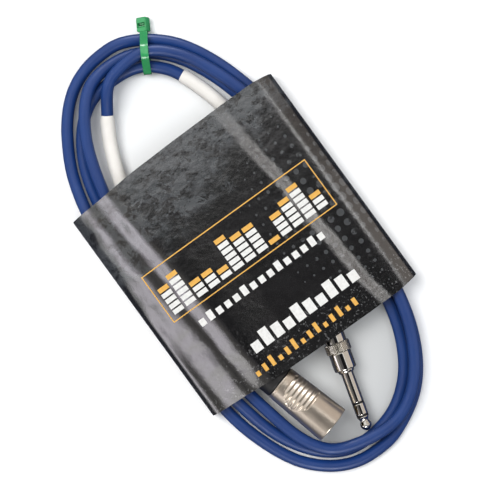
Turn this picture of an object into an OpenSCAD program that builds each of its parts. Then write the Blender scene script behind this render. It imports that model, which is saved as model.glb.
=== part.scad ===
// A short microphone-to-line audio cable, coiled by hand: three oval loops of round
// blue cable, an XLR plug on one end, a 6.35 mm three-pole jack plug on the other,
// a cable tie round the top of the coil and a folded card band round its middle.
// Millimetres, +Z up. The origin is the middle of the card band's flat back.
// +Y runs along the coil towards the tie, +X runs across the coil.

/* [Cable] */
// Outer diameter of the cable jacket
cable_d = 6; // [4.5:0.1:6.2]
// Distance between the centres of two loops that lie side by side
lay_pitch = 6.6; // [6.5:0.05:6.9]
// Half length of the outermost loop, measured at the cable's centre
loop_a = 122; // [110:0.5:130]
// Half width of the outermost loop, measured at the cable's centre
loop_b = 57.1; // [54:0.1:62]
// Wall of the heat-shrink sleeves
shrink_wall = 0.7; // [0.3:0.05:0.9]

/* [Card band] */
// Height of the band, along the coil
card_h = 127.5; // [90:0.5:140]
// Room between the outermost strand and each side of the band
card_side_gap = 2.8; // [1:0.1:6]
// Thickness of the card
card_t = 0.4; // [0.3:0.05:0.5]
// Width of the glued overlap at the back
card_overlap = 14; // [8:1:18]

/* [Cable tie] */
// Width of the strap
tie_w = 4; // [2.5:0.1:5]
// Thickness of the strap
tie_t = 1.1; // [0.8:0.05:1.2]
// Length of the head, away from the coil
tie_head_l = 7.4; // [5:0.1:8]
// Width of the head, along the cable
tie_head_w = 5.6; // [5:0.1:8]
// Height of the head
tie_head_h = 5.2; // [4.4:0.1:6]

/* [XLR plug] */
// Outer diameter of the shell at its mouth
xlr_d = 20; // [19:0.1:20.5]
// Outer diameter of the shell at its rear rim
xlr_rear_d = 18.3; // [18:0.1:19]
// Length of the shell
xlr_l = 34; // [32:0.5:38]
// Bore of the mouth
xlr_bore_d = 16.9; // [16.2:0.1:17]
// Depth of the mouth, down to the insert
xlr_mouth_l = 12.5; // [11:0.5:14]
// Diameter of a contact pin
xlr_pin_d = 2.4; // [2.2:0.05:2.6]
// Radius of the circle that the pins stand on
xlr_pin_r = 4.95; // [4.7:0.05:5.1]
// How far the pins stand out of the insert
xlr_pin_out = 11.4; // [9:0.1:12]
// Length of the screwed boot behind the shell
xlr_boot_l = 26; // [22:0.5:27]
// Diameter of the boot where it meets the shell
xlr_boot_d = 18; // [17:0.1:18.2]
// Diameter of the round ribbed grip pads
xlr_pad_d = 18; // [15:0.5:19]
// Number of ribs across a grip pad
xlr_pad_ribs = 6; // [4:1:9]

/* [Jack plug] */
// Diameter of the contact finger
jack_d = 6.35; // [6.3:0.01:6.4]
// Length of the finger, from the collar to the tip
jack_l = 31; // [30:0.1:31.5]
// Length of the sleeve contact, from the collar to the first black ring
jack_sleeve_l = 15.8; // [15:0.1:17]
// Length of the ring contact
jack_ring_l = 5.7; // [5.2:0.1:6.4]
// Length of each black insulating ring
jack_gap_l = 1; // [0.8:0.1:1.2]
// Length of the screwed handle
jack_handle_l = 44; // [40:0.5:46]
// Diameter of the handle's smooth front end
jack_front_d = 11.5; // [10.6:0.1:12]
// Length of the handle's smooth front end
jack_front_l = 11; // [9:0.1:12]
// Diameter of the knurled ring
jack_knurl_d = 13; // [12:0.1:13.6]
// Length of the knurled ring
jack_knurl_l = 5.2; // [4:0.1:6]
// Number of grooves round the knurled ring
jack_knurl_n = 40; // [24:2:48]
// Diameter of the handle behind the knurled ring
jack_tail_d = 11.2; // [10.4:0.1:11.4]

/* [Hidden] */
$fn = 48;

cable_r = cable_d / 2;
card_half_w = loop_b + cable_r + card_side_gap;
// Gap between the cable and the card it lies on, or a piece it passes through
cable_gap = 0.3;
// Gap between the tie's strap and the cable, and what the strap clears the card by
tie_gap = 0.35;
tie_lift = 0.2;
// Radial gap between pieces that slide or turn on each other
slide_gap = 0.08;
// Gap between pieces that are pressed or moulded together
seat_gap = 0.04;
// A cut runs this far past the face it opens
cut = 1;

// ---- Route of the cable ---------------------------------------------------------

// The oval under the outermost loop: its power, its centre, its lean along Y and the
// bow of its two ends
oval_power = 2.45;
oval_centre = [-0.6, -1.4];
oval_lean = 0.013;
oval_bow = -3.5;
// The winding starts at the tie, this many degrees round the oval
tie_angle = 69;
// Degrees between two rings of the coil, and the sides of the swept tubes
ring_step = 15;
ring_crowding = 9;
coil_sides = 6;
lead_sides = 8;
// The cable lies higher over the card, and where the strap passes under it
card_lift_y = [-97, -77];
tie_lift_y = [85, 105];

// How the loops lie: degrees wound, pitches inward, layers up
LAY = [
    // first loop: innermost at the tie, outermost from the card band onwards
    [0, 2.07, 0], [15, 2.03, 0], [24, 1.97, 0], [33, 1.85, 0], [45, 1.61, 0],
    [60, 1.24, 0], [75, 0.91, 0], [93, 0.89, 0], [103, 0.74, 0], [113, 0.36, 0],
    [123, -0.02, 0], [132, -0.15, 0], [141, -0.21, 0], [150, -0.15, 0], [165, -0.08, 0],
    [180, 0, 0], [195, -0.09, 0], [207, -0.08, 0], [216, 0.06, 0], [225, -0.02, 0],
    [240, -0.2, 0], [255, -0.2, 0], [270, 0, 0], [300, 0.05, 0], [315, 0.09, 0],
    [330, 0.06, 0], [345, 0.03, 0],
    // second loop: outermost at the top, over the first one inside the card band
    [360, 0, 0], [375, -0.18, 0], [390, 0.03, 0], [405, 0.19, 0], [420, 0.15, 0],
    [435, -0.14, 0], [450, -0.14, 0.7], [458, -0.03, 1], [467, 0.16, 1.04],
    [478, 0.56, 1.04], [495, 0.87, 0.5], [510, 0.87, 0.03], [525, 1, 0],
    [540, 1.05, 0], [555, 1, 0], [570, 1.12, 0], [585, 1.03, 0], [600, 0.84, 0],
    [615, 0.8, 0], [630, 1, 0], [660, 1.04, 0], [675, 1.09, 0], [690, 1.08, 0],
    [705, 1.05, 0],
    // third loop: over the first one at the left, down inside it, then on top
    [720, 1.03, 0], [735, 0.94, 0], [750, 1.1, 0.7], [765, 1.52, 1.02],
    [780, 1.62, 1.02], [795, 1.7, 1.02], [810, 1.69, 1.02], [825, 1.64, 1],
    [840, 1.75, 0.85], [852, 1.94, 0.36], [861, 1.98, 0.38],
    [870, 1.9, 0.56],
    [885, 1.56, 0.88], [900, 1.38, 1.02], [915, 1.32, 1.02], [930, 0.8, 1.02],
    [945, 0.4, 1.02], [960, 0.14, 1.02], [975, 0.01, 1.02], [990, 0.12, 1.02],
    [1005, 0.34, 1.02], [1020, 0.52, 1.02], [1035, 0.7, 1.02], [1050, 0.82, 1.02],
    [1065, 0.88, 1.02], [1080, 1.02, 1.02], [1095, 1.62, 1.04]
];
winding_end = LAY[len(LAY) - 1][0];

// The leads and the plugs lie where the points below say for an oval of this half
// length and half width, and keep their places in it when the oval changes
drawn_a = 122;
drawn_b = 57.1;
function fitted(p) = [p.x * loop_b / drawn_b, p.y * loop_a / drawn_a, p.z];

// The lead to the XLR plug, from the coil's upper end down the left
LEAD_XLR = [
    [-6.4, 106.8, 11.8], [-9.6, 103.9, 11.2], [-12.3, 100.4, 9.8], [-14.4, 97.4, 8.3],
    [-16.7, 94.6, 7], [-21.7, 86.6, 5.3], [-25.4, 79.2, 4.8], [-28.5, 71.3, 4.7],
    [-31.2, 63.2, 4.7], [-34, 50.2, 4.7], [-35.9, 38, 4.7], [-37, 24, 4.7],
    [-37.6, 10, 4.9], [-37.9, -4, 5.3], [-37.9, -16, 6.2]
];
// The lead to the jack plug, from the coil's lower end down the right
LEAD_JACK = [
    [23.7, 93.3, 4.8], [25.9, 88.9, 4.8], [29.5, 80, 4.7], [31.8, 72, 4.7],
    [33.7, 64, 4.7], [35.3, 54, 4.7], [35.9, 43, 4.7], [35.6, 30, 4.7],
    [34.2, 16, 4.8], [31.6, 3, 5.1], [28.2, -9, 5.8], [24.2, -19.6, 6.3]
];
// First and last of those points that lie in a heat-shrink sleeve
sleeve_xlr_span = [4, 10];
sleeve_jack_span = [1, 7];

// ---- Places of the plugs --------------------------------------------------------

// XLR plug: the middle of the shell's rear rim, the way the plug points, its rise
xlr_pos = fitted([-25.3, -66.4, 10.3]);
xlr_turn = -74.7;
xlr_rise = 3.5;
// Jack plug: the middle of the handle's front face, the way the plug points
jack_pos = fitted([5, -82.5, jack_knurl_d / 2 + 0.4]);
jack_turn = -106;

// Where the cable's jacket ends inside each plug, and where its straight run begins
xlr_cable_end = -4;
xlr_straight = xlr_boot_l + 14;
jack_cable_end = -24;
jack_straight = jack_handle_l + 12;

module at_xlr() {
    translate(xlr_pos) rotate([0, 90 - xlr_rise, xlr_turn]) children();
}

module at_jack() {
    translate(jack_pos) rotate([0, 90, jack_turn]) children();
}

xlr_way = [cos(xlr_rise) * cos(xlr_turn), cos(xlr_rise) * sin(xlr_turn), sin(xlr_rise)];
jack_way = [cos(jack_turn), sin(jack_turn), 0];

// ---- Functions of the route -----------------------------------------------------

function unit(v) = v / norm(v);
function signed_pow(v, p) = sign(v) * pow(abs(v), p);
function clamp01(t) = min(max(t, 0), 1);
function ease(t) = let (u = clamp01(t)) u * u * (3 - 2 * u);
function ease_over(v, span) = ease((v - span[0]) / (span[1] - span[0]));

// Height of the cable's centre where it lies in the lowest layer
function floor_z(y) = cable_r + (card_t + cable_gap) * ease_over(y, card_lift_y)
    + (tie_t + tie_lift) * ease_over(y, tie_lift_y);

// A point round the oval, moved inward
function oval_point(angle, inward) =
    let (
        x = loop_b * signed_pow(cos(angle), 2 / oval_power),
        y = loop_a * signed_pow(sin(angle), 2 / oval_power),
        out = unit([
            signed_pow(x / loop_b, oval_power - 1) / loop_b,
            signed_pow(y / loop_a, oval_power - 1) / loop_a
        ]),
        p = [x, y] - out * inward
    )
    oval_centre + [p.x + oval_lean * p.y + oval_bow * pow(p.y / loop_a, 2), p.y];

// Smooth curve through the rows of a table, by its first column
function last_row(table, at) =
    max([for (k = [0:len(table) - 2]) if (k == 0 || table[k][0] <= at) k]);
function slope(table, k) =
    let (a = max(k - 1, 0), b = min(k + 1, len(table) - 1))
    (table[b] - table[a]) / (table[b][0] - table[a][0]);
function along(table, at) =
    let (
        k = last_row(table, at),
        h = table[k + 1][0] - table[k][0],
        t = (at - table[k][0]) / h
    )
    (2 * pow(t, 3) - 3 * t * t + 1) * table[k] + (3 * t * t - 2 * pow(t, 3)) * table[k + 1]
    + (pow(t, 3) - 2 * t * t + t) * h * slope(table, k)
    + (pow(t, 3) - t * t) * h * slope(table, k + 1);

// A point of the winding, so many degrees from its start at the tie
function wind(wound) =
    let (
        lie = along(LAY, wound),
        p = oval_point(tie_angle + wound, lie[1] * lay_pitch)
    )
    [p.x, p.y, floor_z(p.y) + max(lie[2], 0) * lay_pitch];
function wind_way(wound) = unit(wind(wound + 0.5) - wind(wound - 0.5));
// The rings stand closer together round the oval's two ends
function ring_wound(even) =
    even + ring_crowding * (sin(2 * (tie_angle + even)) - sin(2 * tie_angle));

// Both ends of the winding run straight for one cable diameter, and the first one keeps
// in line with the strand beside it
start_inward = 2.15 * lay_pitch;
start_way = unit(oval_point(tie_angle, start_inward)
    - oval_point(tie_angle - ring_step, start_inward));
start_back = [start_way.x, start_way.y, 0] * cable_d;
end_ahead = wind_way(winding_end - 0.5) * cable_d;
coil_start = wind(0) - start_back;
coil_end = wind(winding_end) + end_ahead;
coil_path = concat(
    [coil_start],
    [for (even = [0:ring_step:winding_end - 1]) wind(ring_wound(even))],
    [wind(winding_end), coil_end]
);
lead_xlr_path = concat(
    [coil_end, coil_end + end_ahead / 2],
    [for (p = LEAD_XLR) fitted(p)],
    [xlr_pos - xlr_way * xlr_straight, xlr_pos + xlr_way * xlr_cable_end]
);
lead_jack_path = concat(
    [coil_start, coil_start - start_back / 2],
    [for (p = LEAD_JACK) fitted(p)],
    [jack_pos - jack_way * jack_straight, jack_pos + jack_way * jack_cable_end]
);
// Points of a lead's path that come before its own list
lead_in = 2;

function path_length(path) =
    len(path) < 2 ? 0 : norm(path[1] - path[0])
    + path_length([for (i = [1:len(path) - 1]) path[i]]);

// Points a quarter of a step apart along a path
function fine_points(path) = [
    for (i = [0:len(path) - 2], q = [0:0.25:0.75]) path[i] * (1 - q) + path[i + 1] * q
];
// Least gap between stretches of one tube that lie more than half a loop apart
function self_gap(points, apart) =
    min([for (i = [0:len(points) - 1 - apart], j = [i + apart:len(points) - 1])
        norm(points[i] - points[j])]) - cable_d;
function pair_gap(a, b) =
    min([for (p = a, q = b) norm(p - q)]) - cable_d;

// ---- Swept tubes ----------------------------------------------------------------

function way_at(path, i) =
    let (
        n = len(path) - 1,
        before = i > 0 ? unit(path[i] - path[i - 1]) : [0, 0, 0],
        after = i < n ? unit(path[i + 1] - path[i]) : [0, 0, 0]
    )
    unit(before + after);
function ring_at(path, i, r, sides) =
    let (
        way = way_at(path, i),
        side = unit(cross([0, 0, 1], way)),
        up = cross(way, side)
    )
    [for (k = [0:sides - 1])
        let (a = 360 * (k + 0.5) / sides)
        path[i] + r * (cos(a) * side + sin(a) * up)];

// Triangles of one skin of a tube, from its first point on
function skin(first, rings, sides, flip) = [
    for (i = [0:rings - 2], k = [0:sides - 1])
        let (
            a = first + i * sides + k,
            b = first + i * sides + (k + 1) % sides,
            faces = [[a, b, a + sides], [b, b + sides, a + sides]]
        )
        for (f = faces) flip ? [f[2], f[1], f[0]] : f
];
function disc(first, sides, flip) = [
    for (k = [1:sides - 2])
        flip ? [first + k + 1, first + k, first] : [first, first + k, first + k + 1]
];
function annulus(outer, inner, sides, flip) = [
    for (k = [0:sides - 1])
        let (
            n = (k + 1) % sides,
            faces = [[outer + k, outer + n, inner + k], [outer + n, inner + n, inner + k]]
        )
        for (f = faces) flip ? [f[2], f[1], f[0]] : f
];

module swept_rod(path, r, sides) {
    rings = len(path);
    points = [for (i = [0:rings - 1]) each ring_at(path, i, r, sides)];
    faces = concat(
        skin(0, rings, sides, true),
        disc(0, sides, false),
        disc((rings - 1) * sides, sides, true)
    );
    polyhedron(points, faces, convexity = 8);
}

module swept_pipe(path, r_out, r_in, sides) {
    rings = len(path);
    outer = [for (i = [0:rings - 1]) each ring_at(path, i, r_out, sides)];
    inner = [for (i = [0:rings - 1]) each ring_at(path, i, r_in, sides)];
    second = rings * sides;
    last = (rings - 1) * sides;
    faces = concat(
        skin(0, rings, sides, true),
        skin(second, rings, sides, false),
        annulus(0, second, sides, false),
        annulus(last, second + last, sides, true)
    );
    polyhedron(concat(outer, inner), faces, convexity = 8);
}

// ---- Cable ----------------------------------------------------------------------

module cable_coil() {
    echo(coil_length_mm = path_length(coil_path));
    echo(coil_least_gap_to_itself_mm = self_gap(fine_points(coil_path), 50));
    echo(xlr_lead_least_gap_to_coil_mm = pair_gap(
        fine_points([for (i = [3:len(lead_xlr_path) - 1]) lead_xlr_path[i]]),
        fine_points(coil_path)));
    echo(jack_lead_least_gap_to_coil_mm = pair_gap(
        fine_points([for (i = [3:len(lead_jack_path) - 1]) lead_jack_path[i]]),
        fine_points(coil_path)));
    echo(xlr_lead_length_mm = path_length(lead_xlr_path));
    echo(jack_lead_length_mm = path_length(lead_jack_path));
    color([0.2, 0.29, 0.56]) swept_rod(coil_path, cable_r, coil_sides);
}

module cable_lead_xlr() {
    color([0.2, 0.29, 0.56]) swept_rod(lead_xlr_path, cable_r, lead_sides);
}

module cable_lead_jack() {
    color([0.2, 0.29, 0.56]) swept_rod(lead_jack_path, cable_r, lead_sides);
}

// A shrunk sleeve follows the rings of the lead that it grips
module shrink_sleeve(path, span) {
    part = [for (i = [span[0]:span[1]]) path[lead_in + i]];
    r_in = cable_r + seat_gap;
    color([0.95, 0.94, 0.92]) swept_pipe(part, r_in + shrink_wall, r_in, lead_sides);
}

module sleeve_xlr() {
    shrink_sleeve(lead_xlr_path, sleeve_xlr_span);
}

module sleeve_jack() {
    shrink_sleeve(lead_jack_path, sleeve_jack_span);
}

// ---- Cable tie ------------------------------------------------------------------

// The rounding of the head's corners
tie_corner = 0.7;

// The tie sits this many degrees on from the start of the winding
tie_wound = 1.3;
// The head leans over by this angle, so that one of its sides shows from above
tie_head_lean = 27;

// In the tie's own plane, x runs inward from the outermost strand and y runs up; the
// strands are taken a strap's width to each side, as one of them crosses it at a slant
tie_place = oval_point(tie_angle + tie_wound, 0);
tie_inward = unit(oval_point(tie_angle + tie_wound, 1) - tie_place);
tie_reach = tie_w / norm(wind(tie_wound + 0.5) - wind(tie_wound - 0.5));
tied_at = [for (turn = [0:3], side = [-1, 1])
    let (p = wind(max(360 * turn + tie_wound + side * tie_reach, 0)))
    [([p.x, p.y] - tie_place) * tie_inward, p.z]
];

module at_tie() {
    translate([tie_place.x, tie_place.y, 0])
        rotate([90, 0, atan2(tie_inward.y, tie_inward.x)])
            children();
}

module strap_outline(grow) {
    hull() for (strand = tied_at) translate(strand) circle(r = cable_r + grow, $fn = 32);
}

// The head's outline, with its corners cut off, about the middle of its height
module tie_head_outline() {
    far = tie_head_l;
    top = tie_head_h / 2;
    c = tie_corner;
    polygon([[0, -top], [far - c, -top], [far, c - top], [far, top - c], [far - c, top],
        [0, top]]);
}

module cable_tie() {
    face = cable_r + tie_gap;
    head_low = card_t + cable_gap;
    head_mid = head_low + tie_head_h / 2 * cos(tie_head_lean)
        + tie_head_w / 2 * sin(tie_head_lean);
    slot_x = tie_head_l * 0.45;
    color([0.3, 0.67, 0.43]) at_tie() {
        difference() {
            linear_extrude(tie_w, center = true) strap_outline(tie_gap + tie_t);
            linear_extrude(tie_w + 2 * cut, center = true) strap_outline(tie_gap);
        }
        translate([-face - tie_t / 2, head_mid, 0]) rotate([tie_head_lean, 0, 0])
            mirror([1, 0, 0]) difference() {
                linear_extrude(tie_head_w, center = true) tie_head_outline();
                translate([slot_x, -tie_head_h / 2 - cut, 0])
                    linear_extrude_slot(tie_t + 0.5, tie_head_h + 2 * cut, tie_w + 0.4);
            }
    }
}

// The slot that the strap's tail passes through, standing on its lower end
module linear_extrude_slot(thick, tall, wide) {
    translate([-thick / 2, 0, -wide / 2]) cube([thick, tall, wide]);
}

// ---- Card band ------------------------------------------------------------------

// The band passes over the boot of the XLR plug with this much room
card_over_boot = 1.1;
card_top = xlr_pos.z + xlr_boot_d / 2 + card_over_boot;
// The section's shoulder: distance in from the fold, share of the top's height
SHOULDER = [[0, 0], [0.1, 0.23], [0.4, 0.46], [1.5, 0.63], [4.1, 0.75], [9, 0.82]];
// The crown over the plugs and leads: share of the half width, share of the top's height
CROWN = [
    [-0.7, 0.89], [-0.57, 0.97], [-0.44, 1], [-0.29, 0.965], [-0.1, 0.91], [0.13, 0.87],
    [0.36, 0.845], [0.55, 0.835], [0.7, 0.825]
];
// Straight steps of the curve between two knots
card_steps = 4;

section_knots = concat(
    [for (p = SHOULDER) [p.x - card_half_w, p.y * card_top]],
    [for (p = CROWN) [p.x * card_half_w, p.y * card_top]],
    [for (i = [len(SHOULDER) - 1:-1:0])
        [card_half_w - SHOULDER[i].x, SHOULDER[i].y * card_top]]
);

// Curve through the knots, with its corners at the two folds
function knot(k) = section_knots[min(max(k, 0), len(section_knots) - 1)];
function knot_curve(k, t) =
    let (
        a = knot(k - 1), b = knot(k), c = knot(k + 1), d = knot(k + 2)
    )
    0.5 * (2 * b + (c - a) * t + (2 * a - 5 * b + 4 * c - d) * t * t
    + (3 * b - a - 3 * c + d) * pow(t, 3));
section_outer = concat(
    [for (k = [0:len(section_knots) - 2], s = [0:card_steps - 1])
        knot_curve(k, s / card_steps)],
    [knot(len(section_knots) - 1)]
);
function section_normal(i) =
    let (
        a = section_outer[max(i - 1, 0)],
        b = section_outer[min(i + 1, len(section_outer) - 1)],
        way = unit(b - a)
    )
    [way.y, -way.x];
section_inner = [for (i = [0:len(section_outer) - 1])
    let (p = section_outer[i] + card_t * section_normal(i))
    [p.x, max(p.y, card_t)]
];

// The two cut edges bow outward: share of the half width, share of the half height
CARD_EDGE = [
    [-1, 0.942], [-0.7, 0.955], [-0.35, 0.98], [0, 0.992], [0.5, 1], [0.8, 0.998], [1, 0.976]
];
function card_edge(sign) = [for (p = CARD_EDGE)
    [p.x * (card_half_w + cut), sign * p.y * card_h / 2]];

module card_cut_shape() {
    edge = card_edge(1);
    back = card_edge(-1);
    polygon(concat(edge, [for (i = [len(back) - 1:-1:0]) back[i]]));
}

module card_band() {
    color([0.16, 0.17, 0.18]) intersection() {
        rotate([90, 0, 0]) linear_extrude(card_h + 2 * cut, center = true) difference() {
            polygon(section_outer);
            difference() {
                polygon(section_inner);
                translate([-card_overlap / 2, 0]) square([card_overlap, 2 * card_t]);
            }
        }
        translate([0, 0, -cut]) linear_extrude(card_top + 2 * cut) card_cut_shape();
    }
}

// ---- XLR plug -------------------------------------------------------------------

xlr_r = xlr_d / 2;
xlr_bore_r = xlr_bore_d / 2;
xlr_rear_out = xlr_rear_d / 2;
xlr_rear_r = xlr_rear_out - 1.2;
// The shell widens from the rear rim to its barrel, and again towards the mouth
xlr_barrel_r = (xlr_rear_out + xlr_r) / 2;
xlr_ledge_r = xlr_bore_r - 0.95;
xlr_ledge_l = 1.2;
xlr_floor = xlr_l - xlr_mouth_l;
xlr_edge = 0.5;
// The bright lip at the rear rim ends in a fine groove
xlr_lip_l = 0.9;
xlr_lip_groove = 0.35;
// Turn of the keyway round the shell, and of the grip pads
xlr_key_turn = 64;
xlr_pad_turn = 154;
xlr_key_slot_w = 2.2;
// The round pads are cut off flat at both ends, and grooves divide their ribs
xlr_pad_low = 4.2;
xlr_pad_high = 18.7;
xlr_pad_z = (xlr_pad_low + xlr_pad_high) / 2;
xlr_groove_deep = 0.4;
xlr_groove_w = 0.7;
xlr_thread_l = 6;
xlr_chuck_r = 6.8;
xlr_chuck_l = 14;
// Pins 1 and 2 stand either side of the keyway, and pin 3 faces it
pin_turns = [xlr_key_turn - 45, xlr_key_turn + 45, xlr_key_turn + 180];
xlr_flange_l = 4;
xlr_cup_r = 1.6;
xlr_cup_l = 5;
xlr_wire_r = 0.65;

module shell_of_revolution(points) {
    rotate_extrude() polygon(points);
}

module ring_cut(r_in, r_out, low, high) {
    translate([0, 0, low]) difference() {
        cylinder(r = r_out, h = high - low);
        translate([0, 0, -cut]) cylinder(r = r_in, h = high - low + 2 * cut);
    }
}

// One groove of both grip pads, as long as the round pad is wide there
module pad_groove(z) {
    half = sqrt(pow(xlr_pad_d / 2, 2) - pow(z - xlr_pad_z, 2));
    intersection() {
        ring_cut(xlr_barrel_r - xlr_groove_deep, xlr_barrel_r + cut,
            z - xlr_groove_w / 2, z + xlr_groove_w / 2);
        for (turn = [0, 180]) rotate([0, 0, xlr_pad_turn + turn])
            translate([1, -half, z - xlr_groove_w])
                cube([xlr_r + cut, 2 * half, 2 * xlr_groove_w]);
    }
}

module xlr_shell() {
    groove_pitch = (xlr_pad_high - xlr_pad_low) / xlr_pad_ribs;
    lip_end = xlr_lip_l + xlr_lip_groove;
    color([0.74, 0.7, 0.64]) at_xlr() difference() {
        shell_of_revolution([
            [xlr_rear_r, 0], [xlr_rear_out - 0.2, 0], [xlr_rear_out, 0.2],
            [xlr_rear_out, xlr_lip_l],
            [xlr_rear_out - xlr_lip_groove, xlr_lip_l + 0.05],
            [xlr_rear_out - xlr_lip_groove, lip_end - 0.05],
            [xlr_rear_out + 0.05, lip_end],
            [xlr_barrel_r, xlr_pad_low - xlr_edge],
            [xlr_barrel_r, xlr_pad_high + xlr_edge],
            [xlr_r, xlr_l - xlr_edge], [xlr_r - xlr_edge, xlr_l],
            [xlr_bore_r + 0.3, xlr_l], [xlr_bore_r, xlr_l - 0.4],
            [xlr_bore_r, xlr_floor], [xlr_ledge_r, xlr_floor],
            [xlr_ledge_r, xlr_floor - xlr_ledge_l],
            [xlr_rear_r, xlr_floor - xlr_ledge_l]
        ]);
        for (k = [0:xlr_pad_ribs]) pad_groove(xlr_pad_low + k * groove_pitch);
        rotate([0, 0, xlr_key_turn])
            translate([xlr_bore_r - cut, -xlr_key_slot_w / 2, xlr_floor + xlr_edge])
                cube([cut + 0.8, xlr_key_slot_w, xlr_mouth_l + cut]);
    }
}

module xlr_insert() {
    flange_top = xlr_floor - xlr_ledge_l - seat_gap;
    boss_r = xlr_ledge_r - seat_gap;
    color([0.1, 0.1, 0.11]) at_xlr() difference() {
        shell_of_revolution([
            [0, flange_top - xlr_flange_l], [xlr_rear_r - seat_gap, flange_top - xlr_flange_l],
            [xlr_rear_r - seat_gap, flange_top], [boss_r, flange_top],
            [boss_r, xlr_floor], [0, xlr_floor]
        ]);
        for (turn = pin_turns) rotate([0, 0, turn])
            translate([xlr_pin_r, 0, xlr_floor - 10])
                cylinder(d = xlr_pin_d + 2 * seat_gap, h = 12);
    }
}

module xlr_pin(turn) {
    r = xlr_pin_d / 2;
    cup_top = xlr_floor - xlr_ledge_l - xlr_flange_l - 0.3;
    color([0.78, 0.72, 0.55]) at_xlr() rotate([0, 0, turn]) translate([xlr_pin_r, 0, 0])
        difference() {
            shell_of_revolution([
                [0, cup_top - xlr_cup_l], [xlr_cup_r, cup_top - xlr_cup_l],
                [xlr_cup_r, cup_top], [r, cup_top],
                [r, xlr_floor + xlr_pin_out - 0.7],
                [r / 2, xlr_floor + xlr_pin_out], [0, xlr_floor + xlr_pin_out]
            ]);
            translate([0, 0, cup_top - xlr_cup_l - cut]) cylinder(r = 0.9, h = cut + 3.5);
        }
}

module xlr_pin_1() {
    xlr_pin(pin_turns[0]);
}

module xlr_pin_2() {
    xlr_pin(pin_turns[1]);
}

module xlr_pin_3() {
    xlr_pin(pin_turns[2]);
}

// A straight round rod between two points
module rod(from, to, r) {
    v = to - from;
    translate(from) rotate([0, acos(v.z / norm(v)), atan2(v.y, v.x)])
        cylinder(r = r, h = norm(v));
}

// One conductor, from the cable's end out to the solder cup of its pin
module xlr_wire(turn, tint) {
    cup_low = xlr_floor - xlr_ledge_l - xlr_flange_l - 0.3 - xlr_cup_l;
    start = [1.3, 0, xlr_cable_end + 0.1];
    bend = [xlr_pin_r, 0, cup_low - 1];
    color(tint) at_xlr() rotate([0, 0, turn]) {
        rod(start, bend, xlr_wire_r);
        rod(bend - [0, 0, 0.2], bend + [0, 0, 3.5], xlr_wire_r - 0.1);
    }
}

module xlr_wire_screen() {
    xlr_wire(pin_turns[0], [0.72, 0.45, 0.28]);
}

module xlr_wire_hot() {
    xlr_wire(pin_turns[1], [0.75, 0.12, 0.1]);
}

module xlr_wire_cold() {
    xlr_wire(pin_turns[2], [0.9, 0.9, 0.88]);
}

// Slotted clamping sleeve that the boot squeezes on to the jacket
module xlr_chuck() {
    bore = cable_r + cable_gap;
    wide = xlr_chuck_r - 0.6;
    nose = 7;
    color([0.88, 0.87, 0.84]) at_xlr() difference() {
        shell_of_revolution([
            [bore, -xlr_chuck_l], [bore + 1.5, -xlr_chuck_l], [xlr_chuck_r, -8],
            [xlr_chuck_r, nose], [wide, nose], [wide, 0], [bore, xlr_cable_end]
        ]);
        for (k = [0:3]) rotate([0, 0, 45 + 90 * k])
            translate([0, -0.6, -xlr_chuck_l - cut]) cube([xlr_chuck_r + cut, 1.2, 9]);
    }
}

// The boot: a thread that screws into the shell, and a fluted, tapering tail
module xlr_boot() {
    front_r = xlr_boot_d / 2;
    tail_r = cable_r + cable_gap + 1.9;
    bore = cable_r + cable_gap + 0.1;
    room = xlr_chuck_r + 0.2;
    flutes = 8;
    color([0.09, 0.09, 0.1]) at_xlr() difference() {
        shell_of_revolution([
            [bore, -xlr_boot_l], [tail_r - 0.6, -xlr_boot_l], [tail_r, -xlr_boot_l + 0.6],
            [front_r - 0.7, -10], [front_r - 0.7, -8.6], [front_r - 1.3, -8.4],
            [front_r - 1.3, -7.2], [front_r, -7], [front_r, -0.8], [front_r - 0.6, -0.1],
            [xlr_rear_r - slide_gap, -0.1], [xlr_rear_r - slide_gap, xlr_thread_l],
            [room, xlr_thread_l], [room, -8], [bore + 1.6, -xlr_chuck_l - 0.3],
            [bore, -xlr_chuck_l - 0.3]
        ]);
        for (k = [0:flutes - 1]) rotate([0, 0, 360 * k / flutes])
            rod([front_r + 0.5, 0, -9.6], [tail_r + 0.7, 0, -xlr_boot_l + 2], 1.2);
    }
}

// ---- Jack plug ------------------------------------------------------------------

jack_r = jack_d / 2;
// Where each contact of the finger ends
ring_low = jack_sleeve_l + jack_gap_l;
ring_high = ring_low + jack_ring_l;
tip_low = ring_high + jack_gap_l;
// Radii of the tubes one inside the other: rod, insulator, ring tube, insulator, sleeve
rod_r = 0.8;
tube_wall = 0.3;
tube_gap = 0.05;
inner_r = rod_r + tube_gap;
ring_tube_r = inner_r + tube_wall + tube_gap;
outer_r = ring_tube_r + tube_wall + tube_gap;
sleeve_bore_r = outer_r + tube_wall + tube_gap;
// The threaded body behind the finger
jack_body_r = 4.35;
jack_body_l = 9;
// The body's rounded nose, which stands out of the handle's front
jack_nose_l = 1.6;
jack_nose_r = 3.6;
// How far each tube reaches back behind the handle's front face
outer_back = 12;
ring_back = 15;
inner_back = 16.5;
rod_back = 20;
jack_wire_r = 0.55;
jack_tail_r = jack_tail_d / 2;
jack_bore_r = jack_tail_r - 0.55;

module jack_sleeve() {
    color([0.8, 0.79, 0.77]) at_jack() shell_of_revolution([
        [sleeve_bore_r, -jack_body_l], [jack_body_r, -jack_body_l],
        [jack_body_r, -jack_nose_l * 0.9], [jack_body_r - 0.2, -jack_nose_l * 0.4],
        [jack_nose_r, 0], [jack_r, 0],
        [jack_r, jack_sleeve_l], [sleeve_bore_r, jack_sleeve_l]
    ]);
}

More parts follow.
